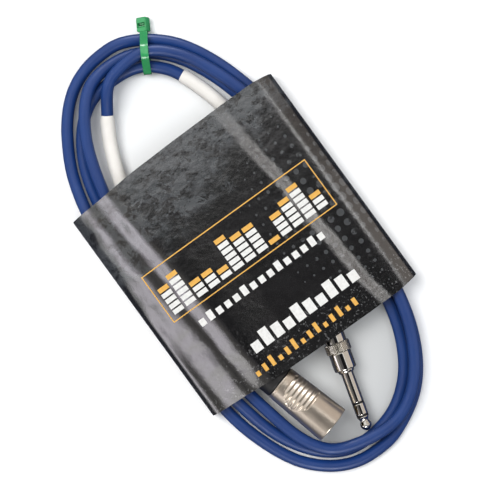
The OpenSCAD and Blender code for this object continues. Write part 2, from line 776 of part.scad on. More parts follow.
// A black ring between two contacts, with its tube that reaches back inside them
module insulator(tube_in, tube_back, low, high) {
    color([0.07, 0.07, 0.08]) at_jack() shell_of_revolution([
        [tube_in, -tube_back], [tube_in + tube_wall, -tube_back],
        [tube_in + tube_wall, low + seat_gap / 2], [jack_r - 0.05, low + seat_gap / 2],
        [jack_r - 0.05, high - seat_gap / 2], [tube_in, high - seat_gap / 2]
    ]);
}

module jack_insulator_rear() {
    insulator(outer_r, outer_back, jack_sleeve_l, ring_low);
}

module jack_insulator_front() {
    insulator(inner_r, inner_back, ring_high, tip_low);
}

module jack_ring() {
    color([0.8, 0.79, 0.77]) at_jack() shell_of_revolution([
        [ring_tube_r, -ring_back], [ring_tube_r + tube_wall, -ring_back],
        [ring_tube_r + tube_wall, ring_low], [jack_r, ring_low], [jack_r, ring_high],
        [ring_tube_r, ring_high]
    ]);
}

// The tip: a neck that a socket's spring drops into, a ball and a blunt point
module jack_tip() {
    ball_r = jack_r - 0.2;
    neck_r = 2.2;
    left = jack_l - tip_low;
    color([0.8, 0.79, 0.77]) at_jack() shell_of_revolution([
        [0, -rod_back], [rod_r, -rod_back], [rod_r, tip_low], [jack_r - 0.1, tip_low],
        [jack_r - 0.1, tip_low + 0.5], [neck_r, tip_low + left * 0.26],
        [neck_r, tip_low + left * 0.36], [ball_r - 0.3, tip_low + left * 0.52],
        [ball_r, tip_low + left * 0.6], [ball_r - 0.15, tip_low + left * 0.68],
        [1.3, tip_low + left * 0.94], [0.6, jack_l], [0, jack_l]
    ]);
}

// The clamp: a root ring against the threaded body, a strip and a crimped collar
module jack_clamp() {
    root = -jack_body_l - seat_gap;
    r_out = jack_body_r;
    collar_low = jack_cable_end - 7;
    collar_l = 5;
    grip_r = cable_r + 0.12;
    color([0.8, 0.7, 0.4]) at_jack() {
        translate([0, 0, root - 1]) difference() {
            cylinder(r = r_out, h = 1);
            translate([0, 0, -cut]) cylinder(r = outer_r + tube_wall + 0.2, h = 1 + 2 * cut);
        }
        intersection() {
            ring_cut(grip_r, r_out, collar_low, root - 0.5);
            translate([0, -1.5, collar_low]) cube([r_out + cut, 3, root - 0.5 - collar_low]);
        }
        difference() {
            ring_cut(grip_r, r_out, collar_low, collar_low + collar_l);
            translate([-r_out - cut, -1, collar_low - cut])
                cube([r_out, 2, collar_l + 2 * cut]);
        }
    }
}

// A conductor that runs straight from the cable's end to its terminal
module jack_wire(turn, out, reach, tint) {
    start = jack_cable_end + 0.1;
    color(tint) at_jack() rotate([0, 0, turn]) translate([out, 0, start])
        cylinder(r = jack_wire_r, h = -reach - start);
}

module jack_wire_screen() {
    jack_wire(240, 2.4, jack_body_l + 1.2, [0.72, 0.45, 0.28]);
}

module jack_wire_hot() {
    jack_wire(90, rod_r + jack_wire_r + tube_gap, inner_back + 0.6, [0.75, 0.12, 0.1]);
}

module jack_wire_cold() {
    jack_wire(150, ring_tube_r + tube_wall + jack_wire_r + tube_gap, outer_back + 0.5,
        [0.9, 0.9, 0.88]);
}

// The insulating liner inside the handle, which slides back with it
module jack_liner() {
    r_out = jack_bore_r - slide_gap;
    color([0.85, 0.85, 0.8]) at_jack()
        ring_cut(r_out - 0.3, r_out, -jack_handle_l + 4.2, -jack_body_l - 1.4);
}

// Straight knurl: a ring with grooves round it
module knurled_ring(r, r_in, grooves, low, high) {
    outline = [for (k = [0:2 * grooves - 1])
        let (a = 180 * k / grooves, d = k % 2 == 0 ? r : r - 0.3)
        [d * cos(a), d * sin(a)]
    ];
    translate([0, 0, low]) difference() {
        linear_extrude(high - low) polygon(outline);
        translate([0, 0, -cut]) cylinder(r = r_in, h = high - low + 2 * cut);
    }
}

module jack_handle() {
    front_r = jack_front_d / 2;
    thread_r = jack_body_r + slide_gap;
    knurl_low = -jack_front_l - jack_knurl_l;
    hole_r = cable_r + cable_gap + 0.1;
    back = -jack_handle_l;
    color([0.8, 0.79, 0.77]) at_jack() union() {
        shell_of_revolution([
            [thread_r, -jack_nose_l], [front_r - 0.9, -jack_nose_l],
            [front_r - 0.45, -jack_nose_l - 0.2], [front_r - 0.4, -jack_nose_l - 0.9],
            [front_r, -jack_nose_l - 1.1], [front_r, -jack_front_l], [jack_tail_r, knurl_low],
            [jack_tail_r, back + 3.5], [jack_tail_r - 0.4, back + 1.4],
            [jack_tail_r - 1.1, back], [hole_r, back], [hole_r, back + 3.8],
            [jack_bore_r, back + 4], [jack_bore_r, -jack_body_l - 1], [thread_r, -jack_body_l]
        ]);
        knurled_ring(jack_knurl_d / 2, jack_bore_r + 0.3, jack_knurl_n, knurl_low,
            -jack_front_l);
    }
}

cable_coil();
cable_lead_xlr();
cable_lead_jack();
sleeve_xlr();
sleeve_jack();
cable_tie();
card_band();
xlr_shell();
xlr_insert();
xlr_pin_1();
xlr_pin_2();
xlr_pin_3();
xlr_wire_screen();
xlr_wire_hot();
xlr_wire_cold();
xlr_chuck();
xlr_boot();
jack_sleeve();
jack_insulator_rear();
jack_ring();
jack_insulator_front();
jack_tip();
jack_clamp();
jack_wire_screen();
jack_wire_hot();
jack_wire_cold();
jack_liner();
jack_handle();
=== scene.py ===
"""The looks of a coiled audio lead: one blue cable with an XLR plug and a jack plug, tied at
the top and held by a printed card band. Shapes are worked out in mm, and MM makes them metres."""

import math

import bpy
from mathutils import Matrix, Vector


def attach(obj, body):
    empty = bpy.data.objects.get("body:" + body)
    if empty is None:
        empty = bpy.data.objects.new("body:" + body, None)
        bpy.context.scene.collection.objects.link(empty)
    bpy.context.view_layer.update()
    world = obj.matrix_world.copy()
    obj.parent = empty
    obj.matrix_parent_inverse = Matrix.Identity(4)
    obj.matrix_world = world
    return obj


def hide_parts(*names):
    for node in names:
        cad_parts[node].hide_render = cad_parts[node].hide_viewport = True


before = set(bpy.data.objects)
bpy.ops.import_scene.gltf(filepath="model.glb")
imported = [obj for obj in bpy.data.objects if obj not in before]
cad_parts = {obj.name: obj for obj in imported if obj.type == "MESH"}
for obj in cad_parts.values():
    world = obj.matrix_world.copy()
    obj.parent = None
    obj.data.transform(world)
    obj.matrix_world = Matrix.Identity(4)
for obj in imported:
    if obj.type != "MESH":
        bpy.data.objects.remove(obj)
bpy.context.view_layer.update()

MM = 0.001
SCENE = bpy.context.scene


# ---- Small helpers ----


def unit(v):
    return v.normalized()


def ease(t):
    """0 up to 0, 1 from 1 on, smooth between."""
    u = min(max(t, 0.0), 1.0)
    return u * u * (3 - 2 * u)


def ease_over(v, span):
    return ease((v - span[0]) / (span[1] - span[0]))


def signed_pow(v, p):
    return math.copysign(abs(v) ** p, v) if v else 0.0


def cosd(a):
    return math.cos(math.radians(a))


def sind(a):
    return math.sin(math.radians(a))


def linear(rgb):
    """sRGB values of 0 to 255 as linear light, with alpha."""
    shares = [c / 255 for c in rgb]
    return tuple(
        s / 12.92 if s <= 0.04045 else ((s + 0.055) / 1.055) ** 2.4 for s in shares
    ) + (1.0,)


# ---- Camera and light ----

camera_data = bpy.data.cameras.new("camera")
camera_data.lens = 98.4
camera_data.sensor_width = 36
camera_data.clip_start = 0.01
camera_data.clip_end = 20
camera = bpy.data.objects.new("camera", camera_data)
camera.location = (0.0017, -0.0034, 0.700)
camera.rotation_euler = (0, 0, math.radians(-36.0))
SCENE.collection.objects.link(camera)
SCENE.camera = camera
SCENE.view_settings.view_transform = "Standard"


def add_node(tree, kind, sockets=(), **settings):
    """A new node with its settings, and a value or a link for each of the given sockets."""
    made = tree.nodes.new(kind)
    for key, value in settings.items():
        setattr(made, key, value)
    for key, value in dict(sockets).items():
        feed(tree, made.inputs[key], value)
    return made


def feed(tree, socket, value):
    if isinstance(value, bpy.types.NodeSocket):
        tree.links.new(value, socket)
    else:
        socket.default_value = value


def area_light(name, place, side, power, tint):
    """A square lamp that aims at the origin and isn't seen in reflections."""
    data = bpy.data.lights.new(name, "AREA")
    data.shape = "RECTANGLE"
    data.size = data.size_y = side
    data.energy = power
    data.color = tint
    lamp = bpy.data.objects.new(name, data)
    lamp.location = place
    lamp.rotation_euler = (Vector((0, 0, 0)) - Vector(place)).to_track_quat("-Z", "Y").to_euler()
    lamp.visible_glossy = False
    SCENE.collection.objects.link(lamp)


def make_world():
    """White where it is seen, reflected or looked through, and otherwise a dim cool fill."""
    world = bpy.data.worlds.new("studio")
    SCENE.world = world
    world.use_nodes = True
    tree = world.node_tree
    tree.nodes.clear()
    rays = add_node(tree, "ShaderNodeLightPath").outputs
    seen = rays["Is Camera Ray"]
    for ray in ("Is Glossy Ray", "Is Transmission Ray"):
        either = add_node(tree, "ShaderNodeMath", {0: seen, 1: rays[ray]}, operation="MAXIMUM")
        seen = either.outputs[0]
    fill = add_node(tree, "ShaderNodeBackground", {0: (0.97, 0.985, 1.0, 1), 1: 0.3})
    white = add_node(tree, "ShaderNodeBackground", {0: (1, 1, 1, 1), 1: 1.0})
    mix = add_node(
        tree, "ShaderNodeMixShader", {0: seen, 1: fill.outputs[0], 2: white.outputs[0]}
    )
    add_node(tree, "ShaderNodeOutputWorld", {0: mix.outputs[0]})


make_world()
area_light("key", (-0.35, 0.55, 1.3), 0.8, 16.5, (1, 0.985, 0.96))
area_light("fill", (0.7, -0.5, 1.1), 0.9, 5.0, (0.96, 0.98, 1))
area_light("overhead", (0, 0, 1.4), 1.6, 5.4, (1, 1, 1))


# ---- Meshes ----


def new_piece(name, shape, look, body, sharp, face_slots=None, extra=()):
    """A piece from its (points in mm, faces), which rides on a body and takes its finish from
    a slot. face_slots gives each face's look: 0 is look, and 1 on are those in extra."""
    verts, faces = shape
    mesh = bpy.data.meshes.new(name)
    mesh.from_pydata([(v[0] * MM, v[1] * MM, v[2] * MM) for v in verts], [], faces)
    for each in (look, *extra):
        mesh.materials.append(each.material)
    if face_slots:
        mesh.polygons.foreach_set("material_index", face_slots)
    mesh.polygons.foreach_set("use_smooth", [True] * len(mesh.polygons))
    if sharp:
        mesh.set_sharp_from_angle(angle=math.radians(sharp))
    mesh.validate()
    mesh.update()
    piece = bpy.data.objects.new(name, mesh)
    SCENE.collection.objects.link(piece)
    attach(piece, body)
    return piece


def tube(path, radius, sides):
    """Rings round a path, radius(i) at ring i, closed at both ends."""
    verts, faces = [], []
    n = len(path)
    for i, p in enumerate(path):
        way = unit(path[min(i + 1, n - 1)] - path[max(i - 1, 0)])
        side = unit(Vector((0, 0, 1)).cross(way))
        up = way.cross(side)
        r = radius(i)
        for k in range(sides):
            a = 2 * math.pi * k / sides
            verts.append(p + r * (math.cos(a) * side + math.sin(a) * up))
    for i in range(n - 1):
        for k in range(sides):
            a, b = i * sides + k, i * sides + (k + 1) % sides
            faces.append((a, b, b + sides, a + sides))
    faces.append(tuple(range(sides - 1, -1, -1)))
    faces.append(tuple(range((n - 1) * sides, n * sides)))
    return verts, faces


def lathe(profile, axes, sides, shift):
    """Turns a closed profile of (radius, height) rows round axes = (origin, x, y, z).

    shift, if any, gives how far a point moves outward from its angle, height and row.
    """
    origin, ax, ay, az = axes
    verts, faces, rings = [], [], []
    for row, (r, z) in enumerate(profile):
        if r < 1e-6:
            rings.append([len(verts)])
            verts.append(origin + az * z)
            continue
        ring = []
        for k in range(sides):
            a = 360.0 * k / sides
            rr = r + (shift(a, z, row) if shift else 0.0)
            ring.append(len(verts))
            verts.append(origin + az * z + rr * (cosd(a) * ax + sind(a) * ay))
        rings.append(ring)
    rows = len(rings)
    for i in range(rows):
        low, high = rings[i], rings[(i + 1) % rows]
        if len(low) == 1 and len(high) == 1:
            continue
        for k in range(sides):
            m = (k + 1) % sides
            if len(low) == 1:
                faces.append((low[0], high[m], high[k]))
            elif len(high) == 1:
                faces.append((low[k], low[m], high[0]))
            else:
                faces.append((low[k], low[m], high[m], high[k]))
    return verts, faces


def fine_profile(rows, step):
    """Extra rows between the given ones, so that no step along the profile is longer."""
    out = []
    for (r0, z0), (r1, z1) in zip(rows[:-1], rows[1:]):
        n = max(1, math.ceil(math.hypot(r1 - r0, z1 - z0) / step))
        for k in range(n):
            t = k / n
            out.append((r0 + (r1 - r0) * t, z0 + (z1 - z0) * t))
    out.append(rows[-1])
    return out


SUPPORT_STEP = 0.25


def supported(rows):
    """Extra rows near both ends of the long faces, so that their shading stays straight."""
    out = []
    for (r0, z0), (r1, z1) in zip(rows[:-1], rows[1:]):
        out.append((r0, z0))
        share = SUPPORT_STEP / max(math.hypot(r1 - r0, z1 - z0), 1e-9)
        for t in (share, 1 - share) if share < 1 / 3 else ():
            out.append((r0 + (r1 - r0) * t, z0 + (z1 - z0) * t))
    out.append(rows[-1])
    return out


# ---- Node materials ----


class Look:
    """A Principled material, and short ways to add nodes to it."""

    def __init__(self, name, base, rough, metal=0.0, **sockets):
        self.material = bpy.data.materials.new(name)
        self.material.use_nodes = True
        self.tree = self.material.node_tree
        self.shader = self.tree.nodes["Principled BSDF"]
        self.shader.inputs["Base Color"].default_value = linear(base)
        self.shader.inputs["Roughness"].default_value = rough
        self.shader.inputs["Metallic"].default_value = metal
        for key, value in sockets.items():
            self.shader.inputs[key.replace("_", " ")].default_value = value
        self.place = self.node("ShaderNodeTexCoord").outputs["Object"]

    def node(self, kind, sockets=(), **settings):
        return add_node(self.tree, kind, sockets, **settings)

    def math(self, operation, a, b=0.0, clamp=False):
        return self.node(
            "ShaderNodeMath", {0: a, 1: b}, operation=operation, use_clamp=clamp
        ).outputs[0]

    def add(self, *parts):
        total = parts[0]
        for part in parts[1:]:
            total = self.math("ADD", total, part)
        return total

    def less(self, a, b):
        return self.math("SUBTRACT", a, b)

    def times(self, a, b):
        return self.math("MULTIPLY", a, b)

    def hypot(self, a, b):
        return self.math("SQRT", self.add(self.times(a, a), self.times(b, b)))

    def in_mm(self):
        """The three coordinates of the place, in mm."""
        split = self.node("ShaderNodeSeparateXYZ", {0: self.place})
        return [self.times(output, 1 / MM) for output in split.outputs]

    def noise(self, scale, detail=3.0, rough=0.5, distort=0.0):
        return self.node("ShaderNodeTexNoise", {
            "Vector": self.place, "Scale": scale, "Detail": detail, "Roughness": rough,
            "Distortion": distort,
        }).outputs["Fac"]

    def ramp(self, factor, low, high):
        """0 below low, 1 above high, smooth between."""
        return self.node(
            "ShaderNodeMapRange", {"Value": factor, "From Min": low, "From Max": high},
            interpolation_type="SMOOTHSTEP",
        ).outputs["Result"]

    def spread(self, factor, low, high):
        """Takes the middle of a noise, from 0.3 to 0.7, to the range from low to high."""
        return self.node("ShaderNodeMapRange", {
            "Value": factor, "From Min": 0.3, "From Max": 0.7, "To Min": low, "To Max": high,
        }).outputs["Result"]

    def mix(self, factor, a, b):
        """From a to b by factor; each is an sRGB colour or a socket."""
        a, b = (linear(tone) if isinstance(tone, tuple) else tone for tone in (a, b))
        return self.node(
            "ShaderNodeMix", {0: factor, 6: a, 7: b}, data_type="RGBA"
        ).outputs[2]

    def colour(self, value):
        feed(self.tree, self.shader.inputs["Base Color"], value)

    def roughness(self, value):
        feed(self.tree, self.shader.inputs["Roughness"], value)

    def bump(self, height, strength, distance):
        made = self.node(
            "ShaderNodeBump", {"Strength": strength, "Distance": distance, "Height": height}
        )
        for name in ("Normal", "Coat Normal"):
            feed(self.tree, self.shader.inputs[name], made.outputs[0])


def mottled(name, low, high, rough, metal=0.0, scale=500.0, fine=5000.0, strength=0.1,
            distance=0.0001, gloss=None, **sockets):
    """Colour that wanders between two tones, with a fine-grained bump.

    The gloss wanders too: gloss is its noise's scale and detail, and how far the roughness
    goes to either side of rough.
    """
    gloss_scale, gloss_detail, sway = gloss or (scale * 2.3, 3.0, 0.05)
    look = Look(name, high, rough, metal, **sockets)
    look.colour(look.mix(look.noise(scale, 4.0), low, high))
    wander = look.noise(gloss_scale, gloss_detail)
    look.roughness(look.spread(wander, rough - sway, rough + sway))
    look.bump(look.noise(fine), strength, distance)
    return look


cable_look = mottled("cable_jacket", (17, 45, 100), (26, 62, 125), 0.4, scale=60.0,
                     fine=2600.0, strength=0.12, distance=0.00008, Specular_IOR_Level=0.45)
shrink_look = mottled("shrink_sleeve", (220, 217, 212), (233, 231, 227), 0.36, scale=140.0,
                      fine=700.0, strength=0.2, distance=0.00015)
tie_look = mottled("tie_nylon", (44, 144, 86), (62, 162, 100), 0.2, scale=260.0,
                   fine=1200.0, strength=0.04, Subsurface_Weight=0.15, Coat_Weight=0.6,
                   Coat_Roughness=0.1)
tie_look.shader.inputs["Subsurface Radius"].default_value = (0.0006, 0.0012, 0.0006)
shell_look = mottled("satin_nickel", (206, 195, 181), (218, 207, 193), 0.33, 1.0, scale=300.0,
                     fine=5200.0, strength=0.05, distance=0.00002, gloss=(260.0, 2.0, 0.02))
boot_look = mottled("boot_plastic", (14, 14, 15), (26, 26, 27), 0.42, scale=300.0,
                    fine=4200.0, strength=0.2)
insert_look = mottled("insert_plastic", (20, 20, 22), (30, 30, 32), 0.5, scale=400.0,
                      strength=0.2)
chrome_look = mottled("bright_nickel", (206, 203, 196), (222, 219, 212), 0.065, 1.0,
                      fine=2500.0, strength=0.02, distance=0.00004, gloss=(900.0, 3.0, 0.025))
gold_look = mottled("contact_gold", (196, 160, 84), (226, 192, 112), 0.22, 1.0, scale=600.0,
                    strength=0.05)
ring_look = mottled("ring_plastic", (12, 12, 13), (22, 22, 24), 0.35, scale=900.0, fine=6000.0)
chuck_look = mottled("chuck_plastic", (214, 210, 200), (232, 229, 220), 0.45, scale=400.0,
                     strength=0.2)
liner_look = mottled("liner_card", (206, 200, 184), (226, 221, 206), 0.6, fine=3500.0,
                     strength=0.3)
copper_look = mottled("bare_copper", (176, 102, 62), (206, 130, 84), 0.32, 1.0, scale=900.0,
                      fine=9000.0, strength=0.3)
red_look = mottled("red_insulation", (150, 20, 18), (182, 32, 28), 0.45, fine=6000.0)
white_look = mottled("white_insulation", (222, 222, 218), (240, 240, 236), 0.45, fine=6000.0)
brass_look = mottled("clamp_brass", (178, 148, 82), (208, 180, 110), 0.28, 1.0)

# ---- Route of the cable, with the numbers of the part's source ----

CABLE_R = 3.0
LAY_PITCH = 6.6
LOOP_A, LOOP_B = 122.0, 57.1
# the oval under the outermost loop: its power, middle and lean, and the bow of its two ends
OVAL_POWER, OVAL_CENTRE, OVAL_LEAN, OVAL_BOW = 2.45, (-0.6, -1.4), 0.013, -3.5
TIE_ANGLE = 69
RING_STEP = 15
CARD_T, CABLE_GAP = 0.4, 0.3
TIE_T, TIE_LIFT, TIE_GAP, TIE_W = 1.1, 0.2, 0.35, 4.0
# the lowest strands climb over the card's back, and over the tie, between these places
CARD_LIFT_Y, TIE_LIFT_Y = (-97, -77), (85, 105)

# the winding: degrees from its start at the tie, pitches inward of the outermost loop, layer
LAY = [
    (0, 2.07, 0), (15, 2.03, 0), (24, 1.97, 0), (33, 1.85, 0), (45, 1.61, 0), (60, 1.24, 0),
    (75, 0.91, 0), (93, 0.89, 0), (103, 0.74, 0), (113, 0.36, 0), (123, -0.02, 0),
    (132, -0.15, 0), (141, -0.21, 0), (150, -0.15, 0), (165, -0.08, 0), (180, 0, 0),
    (195, -0.09, 0), (207, -0.08, 0), (216, 0.06, 0), (225, -0.02, 0), (240, -0.2, 0),
    (255, -0.2, 0), (270, 0, 0), (300, 0.05, 0), (315, 0.09, 0), (330, 0.06, 0), (345, 0.03, 0),
    (360, 0, 0), (375, -0.18, 0), (390, 0.03, 0), (405, 0.19, 0), (420, 0.15, 0),
    (435, -0.14, 0), (450, -0.14, 0.7), (458, -0.03, 1), (467, 0.16, 1.04), (478, 0.56, 1.04),
    (495, 0.87, 0.5), (510, 0.87, 0.03), (525, 1, 0), (540, 1.05, 0), (555, 1, 0),
    (570, 1.12, 0), (585, 1.03, 0), (600, 0.84, 0), (615, 0.8, 0), (630, 1, 0), (660, 1.04, 0),
    (675, 1.09, 0), (690, 1.08, 0), (705, 1.05, 0), (720, 1.03, 0), (735, 0.94, 0),
    (750, 1.1, 0.7), (765, 1.52, 1.02), (780, 1.62, 1.02), (795, 1.7, 1.02), (810, 1.69, 1.02),
    (825, 1.64, 1), (840, 1.75, 0.85), (852, 1.94, 0.36), (861, 1.98, 0.38), (870, 1.9, 0.56),
    (885, 1.56, 0.88), (900, 1.38, 1.02), (915, 1.32, 1.02), (930, 0.8, 1.02), (945, 0.4, 1.02),
    (960, 0.14, 1.02), (975, 0.01, 1.02), (990, 0.12, 1.02), (1005, 0.34, 1.02),
    (1020, 0.52, 1.02), (1035, 0.7, 1.02), (1050, 0.82, 1.02), (1065, 0.88, 1.02),
    (1080, 1.02, 1.02), (1095, 1.62, 1.04),
]
WINDING_END = LAY[-1][0]

LEAD_XLR = [
    (-6.4, 106.8, 11.8), (-9.6, 103.9, 11.2), (-12.3, 100.4, 9.8), (-14.4, 97.4, 8.3),
    (-16.7, 94.6, 7), (-21.7, 86.6, 5.3), (-25.4, 79.2, 4.8), (-28.5, 71.3, 4.7),
    (-31.2, 63.2, 4.7), (-34, 50.2, 4.7), (-35.9, 38, 4.7), (-37, 24, 4.7), (-37.6, 10, 4.9),
    (-37.9, -4, 5.3), (-37.9, -16, 6.2),
]
LEAD_JACK = [
    (23.7, 93.3, 4.8), (25.9, 88.9, 4.8), (29.5, 80, 4.7), (31.8, 72, 4.7), (33.7, 64, 4.7),
    (35.3, 54, 4.7), (35.9, 43, 4.7), (35.6, 30, 4.7), (34.2, 16, 4.8), (31.6, 3, 5.1),
    (28.2, -9, 5.8), (24.2, -19.6, 6.3),
]
# the first and last of those points that lie in a heat-shrink sleeve
SLEEVE_XLR_SPAN, SLEEVE_JACK_SPAN = (4, 10), (1, 7)

# each plug's place, and the way it points: its turn from +X and its rise
XLR_POS, XLR_TURN, XLR_RISE = Vector((-25.3, -66.4, 10.3)), -74.7, 3.5
JACK_POS, JACK_TURN, JACK_RISE = Vector((5, -82.5, 6.9)), -106, 0
XLR_BOOT_L, XLR_BOOT_R, JACK_HANDLE_L = 26.0, 9.0, 44.0
# how far back from its plug's place each point of the cable's straight end lies
XLR_STRAIGHT = (XLR_BOOT_L + 14, 34, XLR_BOOT_L, 15, 4)
JACK_STRAIGHT = (24, 34, JACK_HANDLE_L, 50, JACK_HANDLE_L + 12)


def axes_at(place, turn, rise):
    """A plug's (origin, x, y, z), of which z is the way it points."""
    b = 90 - rise
    return (
        place,
        Vector((cosd(b) * cosd(turn), cosd(b) * sind(turn), -sind(b))),
        Vector((-sind(turn), cosd(turn), 0)),
        Vector((sind(b) * cosd(turn), sind(b) * sind(turn), cosd(b))),
    )


XLR_AXES = axes_at(XLR_POS, XLR_TURN, XLR_RISE)
JACK_AXES = axes_at(JACK_POS, JACK_TURN, JACK_RISE)
XLR_WAY, JACK_WAY = XLR_AXES[3], JACK_AXES[3]


def floor_z(y):
    """Height of the cable's middle where it lies in the lowest layer."""
    return (
        CABLE_R
        + (CARD_T + CABLE_GAP) * ease_over(y, CARD_LIFT_Y)
        + (TIE_T + TIE_LIFT) * ease_over(y, TIE_LIFT_Y)
    )


def oval_point(angle, inward):
    """A point round the oval, seen from above, moved inward."""
    x = LOOP_B * signed_pow(cosd(angle), 2 / OVAL_POWER)
    y = LOOP_A * signed_pow(sind(angle), 2 / OVAL_POWER)
    out = unit(Vector((
        signed_pow(x / LOOP_B, OVAL_POWER - 1) / LOOP_B,
        signed_pow(y / LOOP_A, OVAL_POWER - 1) / LOOP_A,
    )))
    px, py = x - out.x * inward, y - out.y * inward
    return Vector((
        OVAL_CENTRE[0] + px + OVAL_LEAN * py + OVAL_BOW * (py / LOOP_A) ** 2,
        OVAL_CENTRE[1] + py,
    ))


def along(table, at):
    """A smooth curve through the rows of a table, by its first column."""
    k = max(i for i in range(len(table) - 1) if i == 0 or table[i][0] <= at)

    def slope(i):
        a, b = max(i - 1, 0), min(i + 1, len(table) - 1)
        return [(q - p) / (table[b][0] - table[a][0]) for p, q in zip(table[a], table[b])]

    h = table[k + 1][0] - table[k][0]
    t = (at - table[k][0]) / h
    s0, s1 = slope(k), slope(k + 1)
    return [
        (2 * t**3 - 3 * t * t + 1) * p0
        + (3 * t * t - 2 * t**3) * p1
        + (t**3 - 2 * t * t + t) * h * m0
        + (t**3 - t * t) * h * m1
        for p0, p1, m0, m1 in zip(table[k], table[k + 1], s0, s1)
    ]


def wind(wound):
    """A point of the winding, so many degrees from its start."""
    lie = along(LAY, wound)
    p = oval_point(TIE_ANGLE + wound, lie[1] * LAY_PITCH)
    return Vector((p.x, p.y, floor_z(p.y) + max(lie[2], 0) * LAY_PITCH))


# both ends of the winding run straight for one cable diameter
start_inward = 2.15 * LAY_PITCH
start_way = unit(
    oval_point(TIE_ANGLE, start_inward) - oval_point(TIE_ANGLE - RING_STEP, start_inward)
)
start_back = Vector((start_way.x, start_way.y, 0)) * 2 * CABLE_R
end_ahead = unit(wind(WINDING_END) - wind(WINDING_END - 1)) * 2 * CABLE_R
coil_start = wind(0) - start_back
coil_end = wind(WINDING_END) + end_ahead

# the whole cable, from the jack plug through the winding to the XLR plug
lead_jack = [JACK_POS - JACK_WAY * d for d in JACK_STRAIGHT]
lead_jack += [Vector(p) for p in reversed(LEAD_JACK)]
lead_jack += [coil_start - start_back / 2, coil_start]
lead_xlr = [coil_end, coil_end + end_ahead / 2]
lead_xlr += [Vector(p) for p in LEAD_XLR]
lead_xlr += [XLR_POS - XLR_WAY * d for d in XLR_STRAIGHT]
WIND_STEP = 3
wound_points = [wind(w) for w in range(0, WINDING_END + 1, WIND_STEP)]


def smooth_line(points, step):
    """Centripetal curve through the points, with steps of about the given length."""
    out = []
    n = len(points)
    for k in range(n - 1):
        p0 = points[k - 1] if k else 2 * points[0] - points[1]
        p1, p2 = points[k], points[k + 1]
        p3 = points[k + 2] if k + 2 < n else 2 * points[-1] - points[-2]
        t1 = math.sqrt((p1 - p0).length)
        t2 = t1 + math.sqrt((p2 - p1).length)
        t3 = t2 + math.sqrt((p3 - p2).length)
        count = max(1, round((p2 - p1).length / step))
        for i in range(count):
            t = t1 + (t2 - t1) * i / count
            a1 = (t1 - t) / t1 * p0 + t / t1 * p1
            a2 = (t2 - t) / (t2 - t1) * p1 + (t - t1) / (t2 - t1) * p2
            a3 = (t3 - t) / (t3 - t2) * p2 + (t - t2) / (t3 - t2) * p3
            b1 = (t2 - t) / t2 * a1 + t / t2 * a2
            b2 = (t3 - t) / (t3 - t1) * a2 + (t - t1) / (t3 - t1) * a3
            out.append((t2 - t) / (t2 - t1) * b1 + (t - t1) / (t2 - t1) * b2)
    out.append(points[-1].copy())
    return out


def eased_line(points, rounds):
    """Takes the last small kinks out of a line and keeps its two ends."""
    for _ in range(rounds):
        middle = [
            (points[i - 1] + 2 * points[i] + points[i + 1]) / 4 for i in range(2, len(points) - 2)
        ]
        points = points[:2] + middle + points[-2:]
    return points


CABLE_STEP, KINK_ROUNDS = 2.4, 4
JACKET_R, TUBE_SIDES = 3.08, 28
SLEEVE_STEP, SLEEVE_R = 0.9, 3.74
SLEEVE_LIP = (3.1, 3.5, 3.68, SLEEVE_R)

cable_line = smooth_line(lead_jack + wound_points + lead_xlr, CABLE_STEP)
cable_line = eased_line(cable_line, KINK_ROUNDS)
cable_shape = tube(cable_line, lambda i: JACKET_R, TUBE_SIDES)
cable = new_piece("cable", cable_shape, cable_look, "coil", sharp=60)


def nearest_index(point):
    return min(range(len(cable_line)), key=lambda i: (cable_line[i] - Vector(point)).length)


def shrink_sleeve(name, lead, span):
    """A sleeve over part of a lead, with rounded lips and the ripples that shrinking leaves."""
    first, last = sorted(nearest_index(lead[i]) for i in span)
    line = smooth_line(cable_line[first : last + 1], SLEEVE_STEP)

    def radius(i):
        edge = min(i, len(line) - 1 - i)
        if edge < len(SLEEVE_LIP):
            return SLEEVE_LIP[edge]
        ripple = 0.03 * math.sin(i * 0.9) * math.sin(i * 0.23 + 1) + 0.02 * math.sin(i * 0.37)
        return SLEEVE_R + ripple

    shape = tube(line, radius, TUBE_SIDES)
    return new_piece(name, shape, shrink_look, "coil", sharp=50)


sleeve_x = shrink_sleeve("sleeve_xlr_shrunk", LEAD_XLR, SLEEVE_XLR_SPAN)
sleeve_j = shrink_sleeve("sleeve_jack_shrunk", LEAD_JACK, SLEEVE_JACK_SPAN)
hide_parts("cable_coil", "cable_lead_xlr", "cable_lead_jack")
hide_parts("sleeve_xlr")
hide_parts("sleeve_jack")

# ---- Cable tie ----

TIE_WOUND = 1.3
TIE_HEAD_L, TIE_HEAD_W, TIE_HEAD_H, TIE_LEAN = 7.4, 5.6, 5.2, 27
TIE_HEAD_MID = (
    CARD_T + CABLE_GAP + TIE_HEAD_H / 2 * cosd(TIE_LEAN) + TIE_HEAD_W / 2 * sind(TIE_LEAN)
)
# from a strand's middle to the strap's inside, the head's inner face, its slot and its ends
STRAP_IN = CABLE_R + TIE_GAP
HEAD_FACE = -STRAP_IN - TIE_T / 2
SLOT_X = HEAD_FACE - TIE_HEAD_L * 0.45
HEAD_LOW, HEAD_TOP = -TIE_HEAD_H / 2, TIE_HEAD_H / 2
STRAP_STEPS = 144

# in the tie's own plane x runs inward from the outermost strand, and y runs up
tie_place = oval_point(TIE_ANGLE + TIE_WOUND, 0)
tie_inward = unit(oval_point(TIE_ANGLE + TIE_WOUND, 1) - tie_place)
TIE_X = Vector((tie_inward.x, tie_inward.y, 0))
TIE_N = TIE_X.cross(Vector((0, 0, 1)))
tie_reach = TIE_W / (wind(TIE_WOUND + 0.5) - wind(TIE_WOUND - 0.5)).length
tied = []
for turn in range(4):
    for side in (-1, 1):
        p = wind(max(360 * turn + TIE_WOUND + side * tie_reach, 0))
        tied.append(((Vector((p.x, p.y)) - tie_place).dot(tie_inward), p.z))


